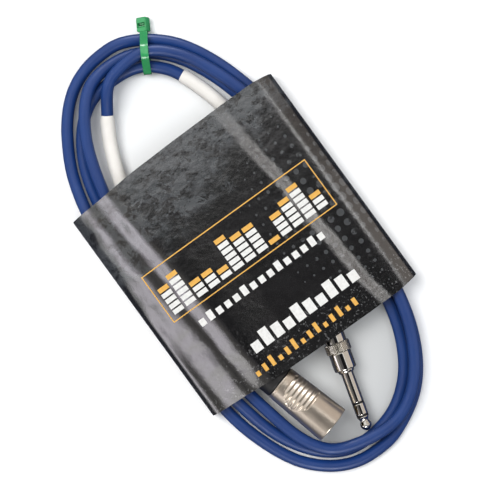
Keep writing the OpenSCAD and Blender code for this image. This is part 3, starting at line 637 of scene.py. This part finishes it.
def in_tie(x, y, n):
    return Vector((tie_place.x, tie_place.y, 0)) + TIE_X * x + Vector((0, 0, y)) + TIE_N * n


def in_head(x, y, n):
    """The head leans over: y and n are measured from its middle."""
    return in_tie(
        x,
        TIE_HEAD_MID + y * cosd(TIE_LEAN) - n * sind(TIE_LEAN),
        y * sind(TIE_LEAN) + n * cosd(TIE_LEAN),
    )


def closed_rings(count, m):
    """Quads between rings of m points each, the last ring joined to the first."""
    quads = []
    for i in range(count):
        j = (i + 1) % count
        for k in range(m):
            n = (k + 1) % m
            quads.append((i * m + k, i * m + n, j * m + n, j * m + k))
    return quads


def strap():
    """The strap round all the strands, with a low rail along each of its edges."""
    w, lo, hi = TIE_W / 2, STRAP_IN, STRAP_IN + TIE_T
    half = [
        (lo, w - 0.25), (lo + 0.2, w), (hi - 0.3, w), (hi - 0.08, w - 0.1), (hi, w - 0.4),
        (hi - 0.06, w - 0.6),
    ]
    outline = [(r, -n) for r, n in half] + half[::-1]
    v = []
    for k in range(STRAP_STEPS):
        a = 360 * k / STRAP_STEPS
        d = (cosd(a), sind(a))
        s = max(tied, key=lambda c: c[0] * d[0] + c[1] * d[1])
        v += [in_tie(s[0] + r * d[0], s[1] + r * d[1], n) for r, n in outline]
    return v, [(a, d, c, b) for a, b, c, d in closed_rings(STRAP_STEPS, len(outline))]


def rounded_frame(x0, x1, n0, n1, corner):
    """Points round a rectangle with rounded corners."""
    pts, steps = [], 4
    for cx, cn, start in (
        (x1 - corner, n1 - corner, 0), (x0 + corner, n1 - corner, 90),
        (x0 + corner, n0 + corner, 180), (x1 - corner, n0 + corner, 270),
    ):
        for k in range(steps + 1):
            a = start + 90 * k / steps
            pts.append((cx + corner * cosd(a), cn + corner * sind(a)))
    return pts


def tie_head():
    """The head, with the slot that runs through it: (inset or growth, height) of each ring."""
    far, w = HEAD_FACE - TIE_HEAD_L, TIE_HEAD_W / 2
    outside = (
        (0.7, HEAD_LOW), (0.2, HEAD_LOW + 0.25), (0.0, HEAD_LOW + 0.8), (0.0, HEAD_TOP - 1.0),
        (0.12, HEAD_TOP - 0.35), (0.5, HEAD_TOP),
    )
    slot = ((0.3, HEAD_TOP - 0.02), (0.0, HEAD_TOP - 0.5), (0.0, HEAD_LOW + 0.4), (0.2, HEAD_LOW))
    half_x, half_n = (TIE_T + 0.9) / 2, (TIE_W + 0.4) / 2
    loops = [
        (y, rounded_frame(far + i, HEAD_FACE - i * 0.3, -w + i, w - i, 0.75)) for i, y in outside
    ]
    for grow, y in slot:
        x, n = half_x + grow, half_n + grow
        loops.append((y, rounded_frame(SLOT_X - x, SLOT_X + x, -n, n, 0.3)))
    v = [in_head(x, y, n) for y, loop in loops for x, n in loop]
    return v, closed_rings(len(loops), len(loops[0][1]))


def tie_tongue():
    """The strap's trimmed end in the slot, and the pawl beside it."""
    v, f = [], []

    def slab(outline, half):
        base, n = len(v), len(outline)
        v.extend(in_head(x, y, side) for side in (-half, half) for x, y in outline)
        f.append(tuple(range(base + n - 1, base - 1, -1)))
        f.append(tuple(range(base + n, base + 2 * n)))
        for i in range(n):
            j = (i + 1) % n
            f.append((base + i, base + j, base + n + j, base + n + i))

    slab([(SLOT_X + 0.35, HEAD_LOW + 0.2), (SLOT_X + 0.9, HEAD_LOW + 0.2),
          (SLOT_X + 0.9, HEAD_TOP - 0.9), (SLOT_X + 0.35, HEAD_TOP - 0.6)], 1.9)
    slab([(SLOT_X - 0.85, HEAD_LOW + 1.6), (SLOT_X - 0.2, HEAD_LOW + 2.3),
          (SLOT_X - 0.35, HEAD_TOP - 1.3), (SLOT_X - 0.85, HEAD_TOP - 1.0)], 1.2)
    return v, f


tie_strap = new_piece("tie_strap", strap(), tie_look, "coil", sharp=45)
new_piece("tie_head", tie_head(), tie_look, "coil", sharp=40)
new_piece("tie_pawl", tie_tongue(), tie_look, "coil", sharp=30)
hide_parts("cable_tie")

# ---- Card band ----

CARD_H, CARD_OVERLAP = 127.5, 14.0
CARD_SIDE_GAP, CARD_OVER_BOOT = 2.8, 1.1
CARD_HALF_W = LOOP_B + CABLE_R + CARD_SIDE_GAP
CARD_TOP = XLR_POS.z + XLR_BOOT_R + CARD_OVER_BOOT
# the card's section: mm inward from its side, and shares of its half width, with the share
# of its height at each
SHOULDER = [(0, 0), (0.1, 0.23), (0.4, 0.46), (1.5, 0.63), (4.1, 0.75), (9, 0.82)]
CROWN = [
    (-0.7, 0.89), (-0.57, 0.97), (-0.44, 1), (-0.29, 0.965), (-0.1, 0.91), (0.13, 0.87),
    (0.36, 0.845), (0.55, 0.835), (0.7, 0.825),
]
knots = [Vector((x - CARD_HALF_W, z * CARD_TOP)) for x, z in SHOULDER]
knots += [Vector((x * CARD_HALF_W, z * CARD_TOP)) for x, z in CROWN]
knots += [Vector((CARD_HALF_W - x, z * CARD_TOP)) for x, z in reversed(SHOULDER)]
# steps between two knots, across the flat back and from one cut edge to the other
CARD_STEPS, BACK_STEPS, CARD_ROWS = 12, 60, 62
BACK_INSET = 0.5
# shares of the card's half width, with the share of its half height at each
CARD_EDGE = [
    (-1, 0.942), (-0.7, 0.955), (-0.35, 0.98), (0, 0.992), (0.5, 1), (0.8, 0.998), (1, 0.976),
]


def half_height(x):
    """Half the height of the card at x: its cut edges bow outward."""
    share = x / (CARD_HALF_W + 1)
    for (s0, h0), (s1, h1) in zip(CARD_EDGE[:-1], CARD_EDGE[1:]):
        if s0 <= share <= s1:
            return CARD_H / 2 * (h0 + (h1 - h0) * (share - s0) / (s1 - s0))
    return CARD_H / 2 * CARD_EDGE[-1][1]


def knot_curve(k, t):
    """A smooth curve through the knots, t of the way from knot k to the next."""
    a, b, c, d = (knots[min(max(k + i, 0), len(knots) - 1)] for i in (-1, 0, 1, 2))
    return 0.5 * (
        2 * b
        + (c - a) * t
        + (2 * a - 5 * b + 4 * c - d) * t * t
        + (3 * b - a - 3 * c + d) * t**3
    )


section_outer = [
    knot_curve(k, s / CARD_STEPS) for k in range(len(knots) - 1) for s in range(CARD_STEPS)
] + [knots[-1]]


def section_inner_points():
    """The inner side of the section, a card's thickness in and down to the card's back."""
    out = []
    n = len(section_outer)
    for i, p in enumerate(section_outer):
        way = unit(section_outer[min(i + 1, n - 1)] - section_outer[max(i - 1, 0)])
        q = p + CARD_T * Vector((way.y, -way.x))
        out.append(Vector((q.x, max(q.y, CARD_T))))
    return out


section_inner = section_inner_points()
back_x = [
    CARD_HALF_W - BACK_INSET - 2 * (CARD_HALF_W - BACK_INSET) * k / BACK_STEPS
    for k in range(BACK_STEPS + 1)
]
FRONT, INSIDE, EDGE = 0, 1, 2


def card():
    """The folded band, doubled where its ends overlap in the middle of its back."""
    outer = section_outer + [Vector((x, 0)) for x in back_x]
    inner = list(section_inner)
    for x in back_x:
        flap = ease_over(CARD_OVERLAP / 2 - abs(x), (-0.6, 0.0))
        inside_x = min(max(x, -CARD_HALF_W + CARD_T), CARD_HALF_W - CARD_T)
        inner.append(Vector((inside_x, CARD_T * (1 + flap))))
    shares = [2 * k / (CARD_ROWS - 1) - 1 for k in range(CARD_ROWS)]
    v = [
        (p.x, share * half_height(p.x), p.y)
        for section in (outer, inner) for share in shares for p in section
    ]
    m = len(outer)
    base = CARD_ROWS * m
    f, kinds = [], []
    for r in range(CARD_ROWS - 1):
        for i in range(m):
            j = (i + 1) % m
            a, b, c, d = r * m + i, r * m + j, (r + 1) * m + j, (r + 1) * m + i
            f += [(a, b, c, d), (base + b, base + a, base + d, base + c)]
            kinds += [FRONT, INSIDE]
    for r in (0, CARD_ROWS - 1):
        for i in range(m):
            j = (i + 1) % m
            quad = (r * m + i, base + r * m + i, base + r * m + j, r * m + j)
            f.append(quad if r == 0 else quad[::-1])
            kinds.append(EDGE)
    return (v, f), kinds


# the dots' pitch and the corner they shrink away from, as (x down the side, y)
DOT_PITCH, DOT_CORNER = 5.9, (41.0, -6.0)
# long creases where the card is pressed against the strands, as smooth steps in its height:
# (x at its middle, slant, width, step)
CREASES = ((-52.5, -0.078, 17.0, 5.6), (-38.5, -0.09, 13.0, 3.9), (36.0, -0.1, 9.0, -0.9))
# dents of three sizes: (scale, detail, height)
DENTS = ((35.0, 2.0, 0.35), (1800.0, 3.0, 0.014), (240.0, 4.0, 0.14))


def card_front_look():
    """Printed and coated front: black ground, worn grey patches, shrinking dots, creases."""
    look = Look("card_front", (18, 18, 20), 0.45, Coat_Weight=1.0, Coat_Roughness=0.19,
                Coat_IOR=2.2, Specular_IOR_Level=0.05)
    x, y, z = look.in_mm()
    grit = look.noise(420.0, 8.0, 0.7)
    blot = look.noise(55.0, 6.0, 0.65, 0.4)
    ground = look.mix(look.noise(30.0), (4, 4, 5), (11, 11, 12))
    # worn grey patch along the edge nearer the tie, in splashes
    reach = look.add(look.times(y, 0.024), look.times(x, -0.006))
    worn = look.ramp(look.add(reach, look.times(blot, 1.7)), 1.5, 1.85)
    splash = look.ramp(look.noise(170.0, 7.0, 0.72, 0.6), 0.44, 0.52)
    worn = look.times(worn, look.math("MAXIMUM", splash, look.ramp(grit, 0.53, 0.6)))
    grey = look.mix(blot, (46, 49, 52), (76, 79, 82))
    ground = look.mix(look.times(worn, 0.9), ground, grey)
    # rows of dots that shrink away from one corner, on down the side with the card
    down = look.less(x, z)
    across = [
        look.less(look.math("FRACT", look.math("DIVIDE", way, DOT_PITCH)), 0.5)
        for way in (down, y)
    ]
    from_corner = look.hypot(look.less(down, DOT_CORNER[0]), look.less(y, DOT_CORNER[1]))
    size = look.math("SUBTRACT", 0.43, look.times(from_corner, 0.0068), clamp=True)
    dot = look.ramp(look.less(size, look.hypot(*across)), -0.01, 0.03)
    dot = look.times(dot, look.ramp(look.noise(160.0, 5.0, 0.6), 0.36, 0.46))
    ground = look.mix(look.times(dot, 0.8), ground, (70, 72, 74))
    # fine pale specks in a drift across the lower edge
    drift = look.ramp(look.add(look.times(y, -0.02), blot), 1.15, 1.6)
    speck = look.times(drift, look.ramp(look.noise(700.0, 4.0, 0.6), 0.56, 0.66))
    look.colour(look.mix(look.times(speck, 0.6), ground, (110, 111, 112)))
    look.roughness(look.spread(grit, 0.4, 0.5))
    wander = look.times(look.less(look.noise(28.0, 2.0), 0.5), 7.0)
    heights = []
    for start, slant, wide, tall in CREASES:
        line = look.add(look.times(y, slant), start)
        off = look.less(look.add(x, wander), line)
        heights.append(look.times(look.ramp(off, -wide / 2, wide / 2), tall))
    heights += [look.times(look.noise(scale, detail), tall) for scale, detail, tall in DENTS]
    look.bump(look.add(*heights), 1.0, MM)
    return look


front_look = card_front_look()
inside_look = mottled("card_inside", (150, 146, 140), (176, 172, 166), 0.8, scale=300.0,
                      fine=3800.0, strength=0.4)
edge_look = mottled("card_edge", (30, 30, 30), (52, 52, 51), 0.7, scale=900.0, strength=0.4)
card_shape, card_kinds = card()
card_piece = new_piece("card", card_shape, front_look, "band", sharp=50,
                       face_slots=card_kinds, extra=(inside_look, edge_look))
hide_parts("card_band")

PRINT_LIFT, PRINT_STEP = 0.035, 0.9


def card_z(x):
    """Height of the card's front at x."""
    for a, b in zip(section_outer[:-1], section_outer[1:]):
        if a.x <= x <= b.x:
            t = (x - a.x) / max(b.x - a.x, 1e-9)
            return a.y + (b.y - a.y) * t
    return section_outer[0].y


def printed(name, boxes, look):
    """Flat printed shapes that follow the card's front: boxes of (x0, x1, y0, y1)."""
    v, f = [], []
    for x0, x1, y0, y1 in boxes:
        n = max(1, math.ceil((x1 - x0) / PRINT_STEP))
        base = len(v)
        for k in range(n + 1):
            x = x0 + (x1 - x0) * k / n
            z = card_z(x) + PRINT_LIFT
            v += [(x, y0, z), (x, y1, z)]
        for a in range(base, base + 2 * n, 2):
            f.append((a, a + 2, a + 3, a + 1))
    new_piece(name, (v, f), look, "band", sharp=0)


def ink(name, tone, tone_low):
    return mottled(name, tone_low, tone, 0.42, scale=700.0, fine=2000.0, strength=0.05,
                   Coat_Weight=0.6, Coat_Roughness=0.2)


def level_boxes(count, left, low):
    """Level bars in a row, from (left, low): heights from two sine waves, in segments."""
    pitch, wide, step, tall = 7.4, 5.9, 3.2, 2.4
    white, amber = [], []
    for k in range(count):
        x = left + pitch * k
        swing = 0.5 + 0.32 * math.sin(k * 1.3 + 0.6) + 0.18 * math.sin(k * 2.9)
        segments = max(1, round(1 + 6 * swing))
        for s in range(segments):
            y = low + s * step
            (amber if s == segments - 1 else white).append((x, x + wide, y, y + tall))
    return white, amber


def rule_frame(x0, x1, y0, y1, t):
    return [(x0, x1, y0, y0 + t), (x0, x1, y1 - t, y1), (x0, x0 + t, y0, y1), (x1 - t, x1, y0, y1)]


def marks(count, left, pitch, wide, low, tall):
    """Marks in a row, from (left, low): mark k is tall(k) high."""
    return [(left + pitch * k, left + wide + pitch * k, low, low + tall(k)) for k in range(count)]


white_boxes, amber_boxes = level_boxes(13, -47.6, -7.6)
amber_boxes += rule_frame(-50.5, 50.5, -10.6, 17.4, 0.55)
amber_boxes += marks(14, -32, 4.6, 2.1, -57.0, lambda k: 2.6 + 1.5 * (k % 3))
white_boxes += marks(15, -40, 5.2, 3.2, -20.5, lambda k: 5.0 if k % 4 == 1 else 3.6)
white_boxes += marks(10, -26, 6.6, 4.8, -47.0, lambda k: 5.4 + 1.7 * (2 * k % 3))
printed("card_print_white", white_boxes, ink("ink_white", (240, 240, 238), (196, 196, 194)))
printed("card_print_amber", amber_boxes, ink("ink_amber", (232, 180, 84), (206, 152, 60)))

# ---- XLR plug ----

XLR_L, XLR_R, XLR_REAR = 34.0, 10.0, 9.15
XLR_BORE, XLR_FLOOR, XLR_EDGE = 8.45, 21.5, 0.5
REAR_BORE, LEDGE_R, LEDGE_Z = 7.95, 7.5, 20.3
# turns of the keyway and the grip pads round the shell
XLR_KEY, XLR_PAD = 64, 154
KEY_DEEP, KEY_HALF, KEY_EASE = 0.8, 6.6, 0.9
PAD_LOW, PAD_HIGH, PAD_R, PAD_RIBS = 4.2, 18.7, 9.0, 6
# depth of the grooves between the ribs, rise of the ribs' crests, and where a crest lies
# from one groove to the next
PAD_DEEP, RIB_RISE, RIB_CREST = 0.42, 0.14, 0.62
PAD_BARREL = 9.55


def shell_profile():
    """Rows from the rear rim up the outside, over the mouth, and down the bore."""
    rows = [(REAR_BORE, 0.0), (8.75, 0.0), (9.05, 0.1), (XLR_REAR, 0.3), (XLR_REAR, 0.9),
            (8.85, 0.98), (8.85, 1.22), (9.17, 1.32)]
    z = 1.5
    while z < XLR_L - XLR_EDGE:
        rows.append((XLR_REAR + (XLR_R - XLR_REAR) * z / XLR_L, z))
        z += 0.14 if PAD_LOW - 0.9 < z < PAD_HIGH + 0.8 else 0.6
    rows += [(9.98, 33.55), (9.9, 33.85), (9.7, XLR_L), (8.85, XLR_L), (8.6, 33.85)]
    rows += [(XLR_BORE, 33.6 - 0.75 * k) for k in range(17)]
    rows += [(XLR_BORE, XLR_FLOOR + 0.01), (XLR_BORE, XLR_FLOOR), (LEDGE_R, XLR_FLOOR),
             (LEDGE_R, LEDGE_Z)]
    return rows + [(REAR_BORE, LEDGE_Z - 1.4 * k) for k in range(15)]


SHELL_ROWS = shell_profile()
OUTER_END = next(i for i, (r, z) in enumerate(SHELL_ROWS) if z >= XLR_L - XLR_EDGE)


def pad_shift(a, z):
    """The grip pads: round, cut off flat at both ends, with ribs across them."""
    rel = (a - XLR_PAD + 90) % 180 - 90
    from_middle = math.hypot(PAD_BARREL * sind(rel), z - (PAD_LOW + PAD_HIGH) / 2)
    inside = min(PAD_R - from_middle, z - PAD_LOW + 0.05, PAD_HIGH + 0.05 - z)
    if inside <= -0.3 or cosd(rel) <= 0.3:
        return 0.0
    f = (z - PAD_LOW) / (PAD_HIGH - PAD_LOW) * PAD_RIBS % 1
    rib = ease(min(f / RIB_CREST, (1 - f) / (1 - RIB_CREST)))
    sunk = PAD_DEEP * (1 - rib) * ease((inside + 0.3) / 0.45)
    return RIB_RISE * rib * ease(inside / 0.5) - sunk


def key_shift(a):
    """The keyway, a groove along the bore."""
    rel = abs((a - XLR_KEY + 180) % 360 - 180)
    return KEY_DEEP * (1 - ease((rel - KEY_HALF) / KEY_EASE))


def shell_shift(a, z, row):
    if row <= OUTER_END:
        return pad_shift(a, z) if PAD_LOW - 2.2 < z < PAD_HIGH + 2.3 else 0.0
    in_mouth = row > OUTER_END + 4 and z > XLR_FLOOR and SHELL_ROWS[row][0] > XLR_BORE - 0.05
    return key_shift(a) if in_mouth else 0.0


shell_shape = lathe(SHELL_ROWS, XLR_AXES, 480, shell_shift)
shell = new_piece("xlr_shell_fine", shell_shape, shell_look, "coil", sharp=50)
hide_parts("xlr_shell")

BOOT_TAIL, BOOT_TAIL_Z, BOOT_WAIST, BOOT_BORE, BOOT_ROOM, THREAD_R = 5.2, -25.3, 7.7, 3.4, 7.0, 7.87
FLUTE_TURN, FLUTE_DEEP, FLUTE_HALF = 45, 0.75, 1.3
FLUTE_LOW, FLUTE_HIGH = -24.6, -9.4
BOOT_ROWS = fine_profile(
    [
        (BOOT_BORE, -XLR_BOOT_L), (4.7, -XLR_BOOT_L), (5.1, -25.7), (BOOT_TAIL, BOOT_TAIL_Z),
        (8.3, -10.0), (8.3, -8.6), (BOOT_WAIST, -8.4), (BOOT_WAIST, -7.2), (8.95, -7.0),
        (XLR_BOOT_R, -6.6), (XLR_BOOT_R, -0.9), (8.9, -0.4), (8.5, -0.1), (THREAD_R, -0.1),
        (THREAD_R, 6.0), (BOOT_ROOM, 6.0), (BOOT_ROOM, -8.0), (5.0, -14.3), (BOOT_BORE, -14.3),
    ],
    0.6,
)


def boot_shift(a, z, row):
    """Flutes along the outside of the tapering tail."""
    r = BOOT_ROWS[row][0]
    if not FLUTE_LOW < z < FLUTE_HIGH or r < BOOT_TAIL - 0.05 + (z - BOOT_TAIL_Z) * 0.19:
        return 0.0
    near = math.radians(abs((a + FLUTE_TURN / 2) % FLUTE_TURN - FLUTE_TURN / 2)) * r
    deep = FLUTE_DEEP * math.sqrt(max(0.0, 1 - (near / FLUTE_HALF) ** 2))
    return -deep * ease((z - FLUTE_LOW) / 2.5) * ease(FLUTE_HIGH - z)


boot_shape = lathe(BOOT_ROWS, XLR_AXES, 192, boot_shift)
boot = new_piece("xlr_boot_fine", boot_shape, boot_look, "boot", sharp=40)
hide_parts("xlr_boot")

# ---- Jack plug ----

JACK_R, BODY_R, BODY_L = 3.175, 4.35, 9.0
SLEEVE_L, GAP_L, RING_L, JACK_L = 15.8, 1.0, 5.7, 31.0
RING_LOW = SLEEVE_L + GAP_L
RING_HIGH = RING_LOW + RING_L
TIP_LOW = RING_HIGH + GAP_L
# the rod, the ring's tube and the sleeve's bore, one inside the other, and how far back the
# first two reach
ROD_R, RING_TUBE_R, SLEEVE_BORE = 0.8, 1.2, 1.9
ROD_BACK, RING_BACK = -20.0, -15.0


def turned(node, rows, body="coil", sides=128, sharp=40, shift=None):
    """A turned piece of the jack plug; long plain faces get rows that support their shading."""
    shape = lathe(rows if shift else supported(rows), JACK_AXES, sides, shift)
    piece = new_piece(f"{node}_fine", shape, chrome_look, body, sharp=sharp)
    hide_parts(node)


turned("jack_sleeve", [
    (SLEEVE_BORE, -BODY_L), (BODY_R, -BODY_L), (BODY_R, -1.44), (BODY_R - 0.05, -1.1),
    (BODY_R - 0.2, -0.64), (4.0, -0.3), (3.75, -0.05), (3.6, 0.0), (3.3, 0.0), (3.2, 0.05),
    (JACK_R, 0.15), (JACK_R, SLEEVE_L - 0.12), (JACK_R - 0.1, SLEEVE_L), (SLEEVE_BORE, SLEEVE_L),
])
turned("jack_ring", [
    (RING_TUBE_R, RING_BACK), (RING_TUBE_R + 0.3, RING_BACK), (RING_TUBE_R + 0.3, RING_LOW),
    (JACK_R - 0.1, RING_LOW), (JACK_R, RING_LOW + 0.12), (JACK_R, RING_HIGH - 0.12),
    (JACK_R - 0.1, RING_HIGH), (RING_TUBE_R, RING_HIGH),
])


def tip_rows():
    """The rod, then the neck, ball and blunt point, by shares of the tip's length."""
    rows = [(0, ROD_BACK), (ROD_R, ROD_BACK), (ROD_R, TIP_LOW), (JACK_R - 0.2, TIP_LOW),
            (JACK_R - 0.1, TIP_LOW + 0.1), (JACK_R - 0.1, TIP_LOW + 0.45)]
    neck = [(2.98, 0.07), (2.62, 0.15), (2.32, 0.23), (2.2, 0.29), (2.2, 0.34), (2.36, 0.41),
            (2.62, 0.48), (2.84, 0.54), (2.95, 0.59), (2.975, 0.63), (2.9, 0.69), (2.62, 0.77),
            (2.2, 0.85), (1.65, 0.925), (1.1, 0.975), (0.55, 0.997), (0, 1.0)]
    return rows + [(r, TIP_LOW + (JACK_L - TIP_LOW) * share) for r, share in neck]


turned("jack_tip", tip_rows(), sharp=50)

KNURL_HIGH, KNURL_LOW, KNURL_R = -11.0, -16.2, 6.5
# diamonds round the ring, their pitch along it in mm, their depth, and rows along it
KNURL_COUNT, KNURL_PITCH, KNURL_DEEP, KNURL_ROWS = 52, 0.8, 0.3, 44
FRONT_R, FRONT_BORE, TAIL_R, TAIL_BORE, CABLE_HOLE = 5.78, 4.43, 5.6, 5.05, 3.4


def handle_profile():
    """Rows from the front back over the knurled ring to the tail, and forward in the bore."""
    front = [(FRONT_BORE, -1.6), (4.95, -1.6), (5.3, -1.68), (5.58, -1.88), (5.74, -2.2),
             (FRONT_R, -2.6), (FRONT_R, -10.6), (5.65, -10.9), (5.3, KNURL_HIGH)]
    ring = [(6.1, KNURL_HIGH - 0.05), (6.4, KNURL_HIGH - 0.3)]
    ring += [(KNURL_R, KNURL_HIGH - 0.4 - 4.4 * k / KNURL_ROWS) for k in range(KNURL_ROWS + 1)]
    ring += [(6.4, KNURL_LOW + 0.3), (6.1, KNURL_LOW + 0.05), (5.5, KNURL_LOW)]
    tail = [(TAIL_R, -16.3), (TAIL_R, -40.5), (5.5, -41.4), (5.2, -42.6), (4.8, -43.5),
            (4.4, -JACK_HANDLE_L), (CABLE_HOLE, -JACK_HANDLE_L)]
    bore = [(CABLE_HOLE, -40.2), (TAIL_BORE, -40.0), (TAIL_BORE, -10.0), (FRONT_BORE, -BODY_L)]
    return supported(front + ring + tail + bore)


HANDLE_ROWS = handle_profile()


def knurl_shift(a, z, row):
    """Crossed grooves round the knurled ring, which leave diamonds between them."""
    if not KNURL_LOW + 0.35 < z < KNURL_HIGH - 0.35 or HANDLE_ROWS[row][0] < 6.3:
        return 0.0
    u, w = a / 360 * KNURL_COUNT, z / KNURL_PITCH
    p = abs((u + w) % 1 - 0.5) * 2
    q = abs((u - w) % 1 - 0.5) * 2
    return -KNURL_DEEP * (1 - ease(min(1 - p, 1 - q) * 2.2))


turned("jack_handle", HANDLE_ROWS, "handle", sides=480, shift=knurl_shift)

# ---- CAD nodes that stay, with their materials ----

KEPT = {
    "xlr_insert": insert_look, "xlr_chuck": chuck_look, "jack_clamp": brass_look,
    "jack_liner": liner_look, "jack_insulator_rear": ring_look,
    "jack_insulator_front": ring_look,
}
KEPT.update({f"xlr_pin_{number}": gold_look for number in (1, 2, 3)})
for plug in ("xlr", "jack"):
    KEPT[f"{plug}_wire_screen"] = copper_look
    KEPT[f"{plug}_wire_hot"] = red_look
    KEPT[f"{plug}_wire_cold"] = white_look
for node_name, look in KEPT.items():
    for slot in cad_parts[node_name].material_slots:
        slot.material = look.material

# ---- Floor and reflected panels ----


def sheet_of(name, centre, across, up, material):
    """A flat rectangle from its centre and two half-side vectors, in metres."""
    c, a, u = Vector(centre), Vector(across), Vector(up)
    mesh = bpy.data.meshes.new(name)
    mesh.from_pydata([c - a - u, c + a - u, c + a + u, c - a + u], [], [(0, 1, 2, 3)])
    mesh.materials.append(material)
    made = bpy.data.objects.new(name, mesh)
    SCENE.collection.objects.link(made)
    return made


def floor_paper():
    """White paper, with painted shade inside the coil's oval that grows darker towards the plugs.
    """
    look = Look("floor_paper", (246, 247, 249), 0.9, Specular_IOR_Level=0.1,
                Emission_Color=(1, 1, 1, 1), Emission_Strength=0.04)
    inset, aside = 4.0, 0.6
    x, y, _ = look.in_mm()
    x = look.math("DIVIDE", look.less(x, OVAL_CENTRE[0] - aside), LOOP_B - inset)
    y = look.math("DIVIDE", look.less(y, OVAL_CENTRE[1]), LOOP_A - inset)
    outside = look.add(
        look.math("POWER", look.math("ABSOLUTE", x), OVAL_POWER),
        look.math("POWER", look.math("ABSOLUTE", y), OVAL_POWER),
    )
    # painted shade: grey inside the oval, darker towards the plugs, and white paper outside it
    look.colour(look.mix(
        look.ramp(outside, 0.96, 1.04),
        look.mix(look.ramp(y, -0.7, 0.8), (190, 192, 193), (228, 230, 232)),
        look.mix(look.noise(8.0), (244, 245, 247), (249, 250, 252)),
    ))
    return look.material


FLOOR_SIDES = (3, 0, 0), (0, 3, 0)
sheet_of("floor", (0, 0, -0.0002), *FLOOR_SIDES, floor_paper()).visible_glossy = False


def glow(name, tone, strength):
    material = bpy.data.materials.new(name)
    material.use_nodes = True
    tree = material.node_tree
    tree.nodes.clear()
    shine = add_node(tree, "ShaderNodeEmission", {0: linear(tone), 1: strength})
    add_node(tree, "ShaderNodeOutputMaterial", {0: shine.outputs[0]})
    return material


def only_reflected(made):
    for ray in ("camera", "diffuse", "shadow", "transmission"):
        setattr(made, f"visible_{ray}", False)


PANEL_FAR = 1.5


def reflected(name, span, reach, tone, strength=1.0, turn=0.0):
    """A panel that only reflections see: span is its angles from straight up, leaning
    towards +X turned by turn degrees, and reach is where it starts and ends across that."""
    u = Vector((cosd(turn), sind(turn), 0))
    v = Vector((-sind(turn), cosd(turn), 0))
    up = Vector((0, 0, 1))
    a = 0.5 * (span[0] + span[1])
    half = PANEL_FAR * math.tan(math.radians(0.5 * (span[1] - span[0])))
    centre = PANEL_FAR * (sind(a) * u + cosd(a) * up) + 0.5 * (reach[0] + reach[1]) * v
    only_reflected(sheet_of(
        name, centre, half * (cosd(a) * u - sind(a) * up), 0.5 * (reach[1] - reach[0]) * v,
        glow(name, tone, strength),
    ))


# The card and both plugs mirror what lies within MIDDLE and just past it, the ribs of the
# grip pads also LOW and dark_near, and the tie the two bars.
MIDDLE, LOW, HIGH, WINDOW = (-0.4, 0.2), (-1.2, -0.4), (0.2, 1.2), (-0.2, 0.2)
reflected("dark_overhead", (-15, 17), (-1.2, 0.2), (30, 30, 33))
reflected("dim_left", (-36, -15), MIDDLE, (100, 98, 100))
reflected("grey_left", (-58, -36), MIDDLE, (140, 137, 134))
reflected("window_left", (-76, -57), (-0.4, -0.2), (255, 252, 250), 2.4)
reflected("window_high", (-78, -66), WINDOW, (252, 246, 255), 2.9)
reflected("window_low", (-66, -56), WINDOW, (252, 246, 255), 1.2)
reflected("dusk_left", (-84, -15), LOW, (128, 123, 118))
reflected("pale_left", (-84, -15), HIGH, (214, 208, 200))
reflected("warm_right", (24, 92), (-1.2, 0.06), (222, 212, 204))
reflected("dim_right", (24, 92), (0.06, 0.2), (100, 97, 96))
reflected("warm_right_far", (24, 92), HIGH, (222, 212, 204))
reflected("strip_right", (17, 24), (-0.12, 0.16), (255, 252, 250), 3.0)
reflected("dark_near", (48, 86), (-1.3, 1.3), (64, 62, 62), turn=-90)
reflected("bar_far", (58, 78), (-0.3, 0.3), (255, 255, 255), 10.0, turn=57.6)
reflected("bar_near", (-62, -42), (-0.3, 0.3), (255, 255, 255), 10.0, turn=57.6)
# painted shade in reflections: a dark sheet under the floor, seen only in reflections in the
# floor's place, darkens what the cable and plugs mirror below them
only_reflected(sheet_of("painted_shade_below", (0, 0, -0.004), *FLOOR_SIDES,
                        glow("painted_shade_below", (72, 74, 84), 1.0)))
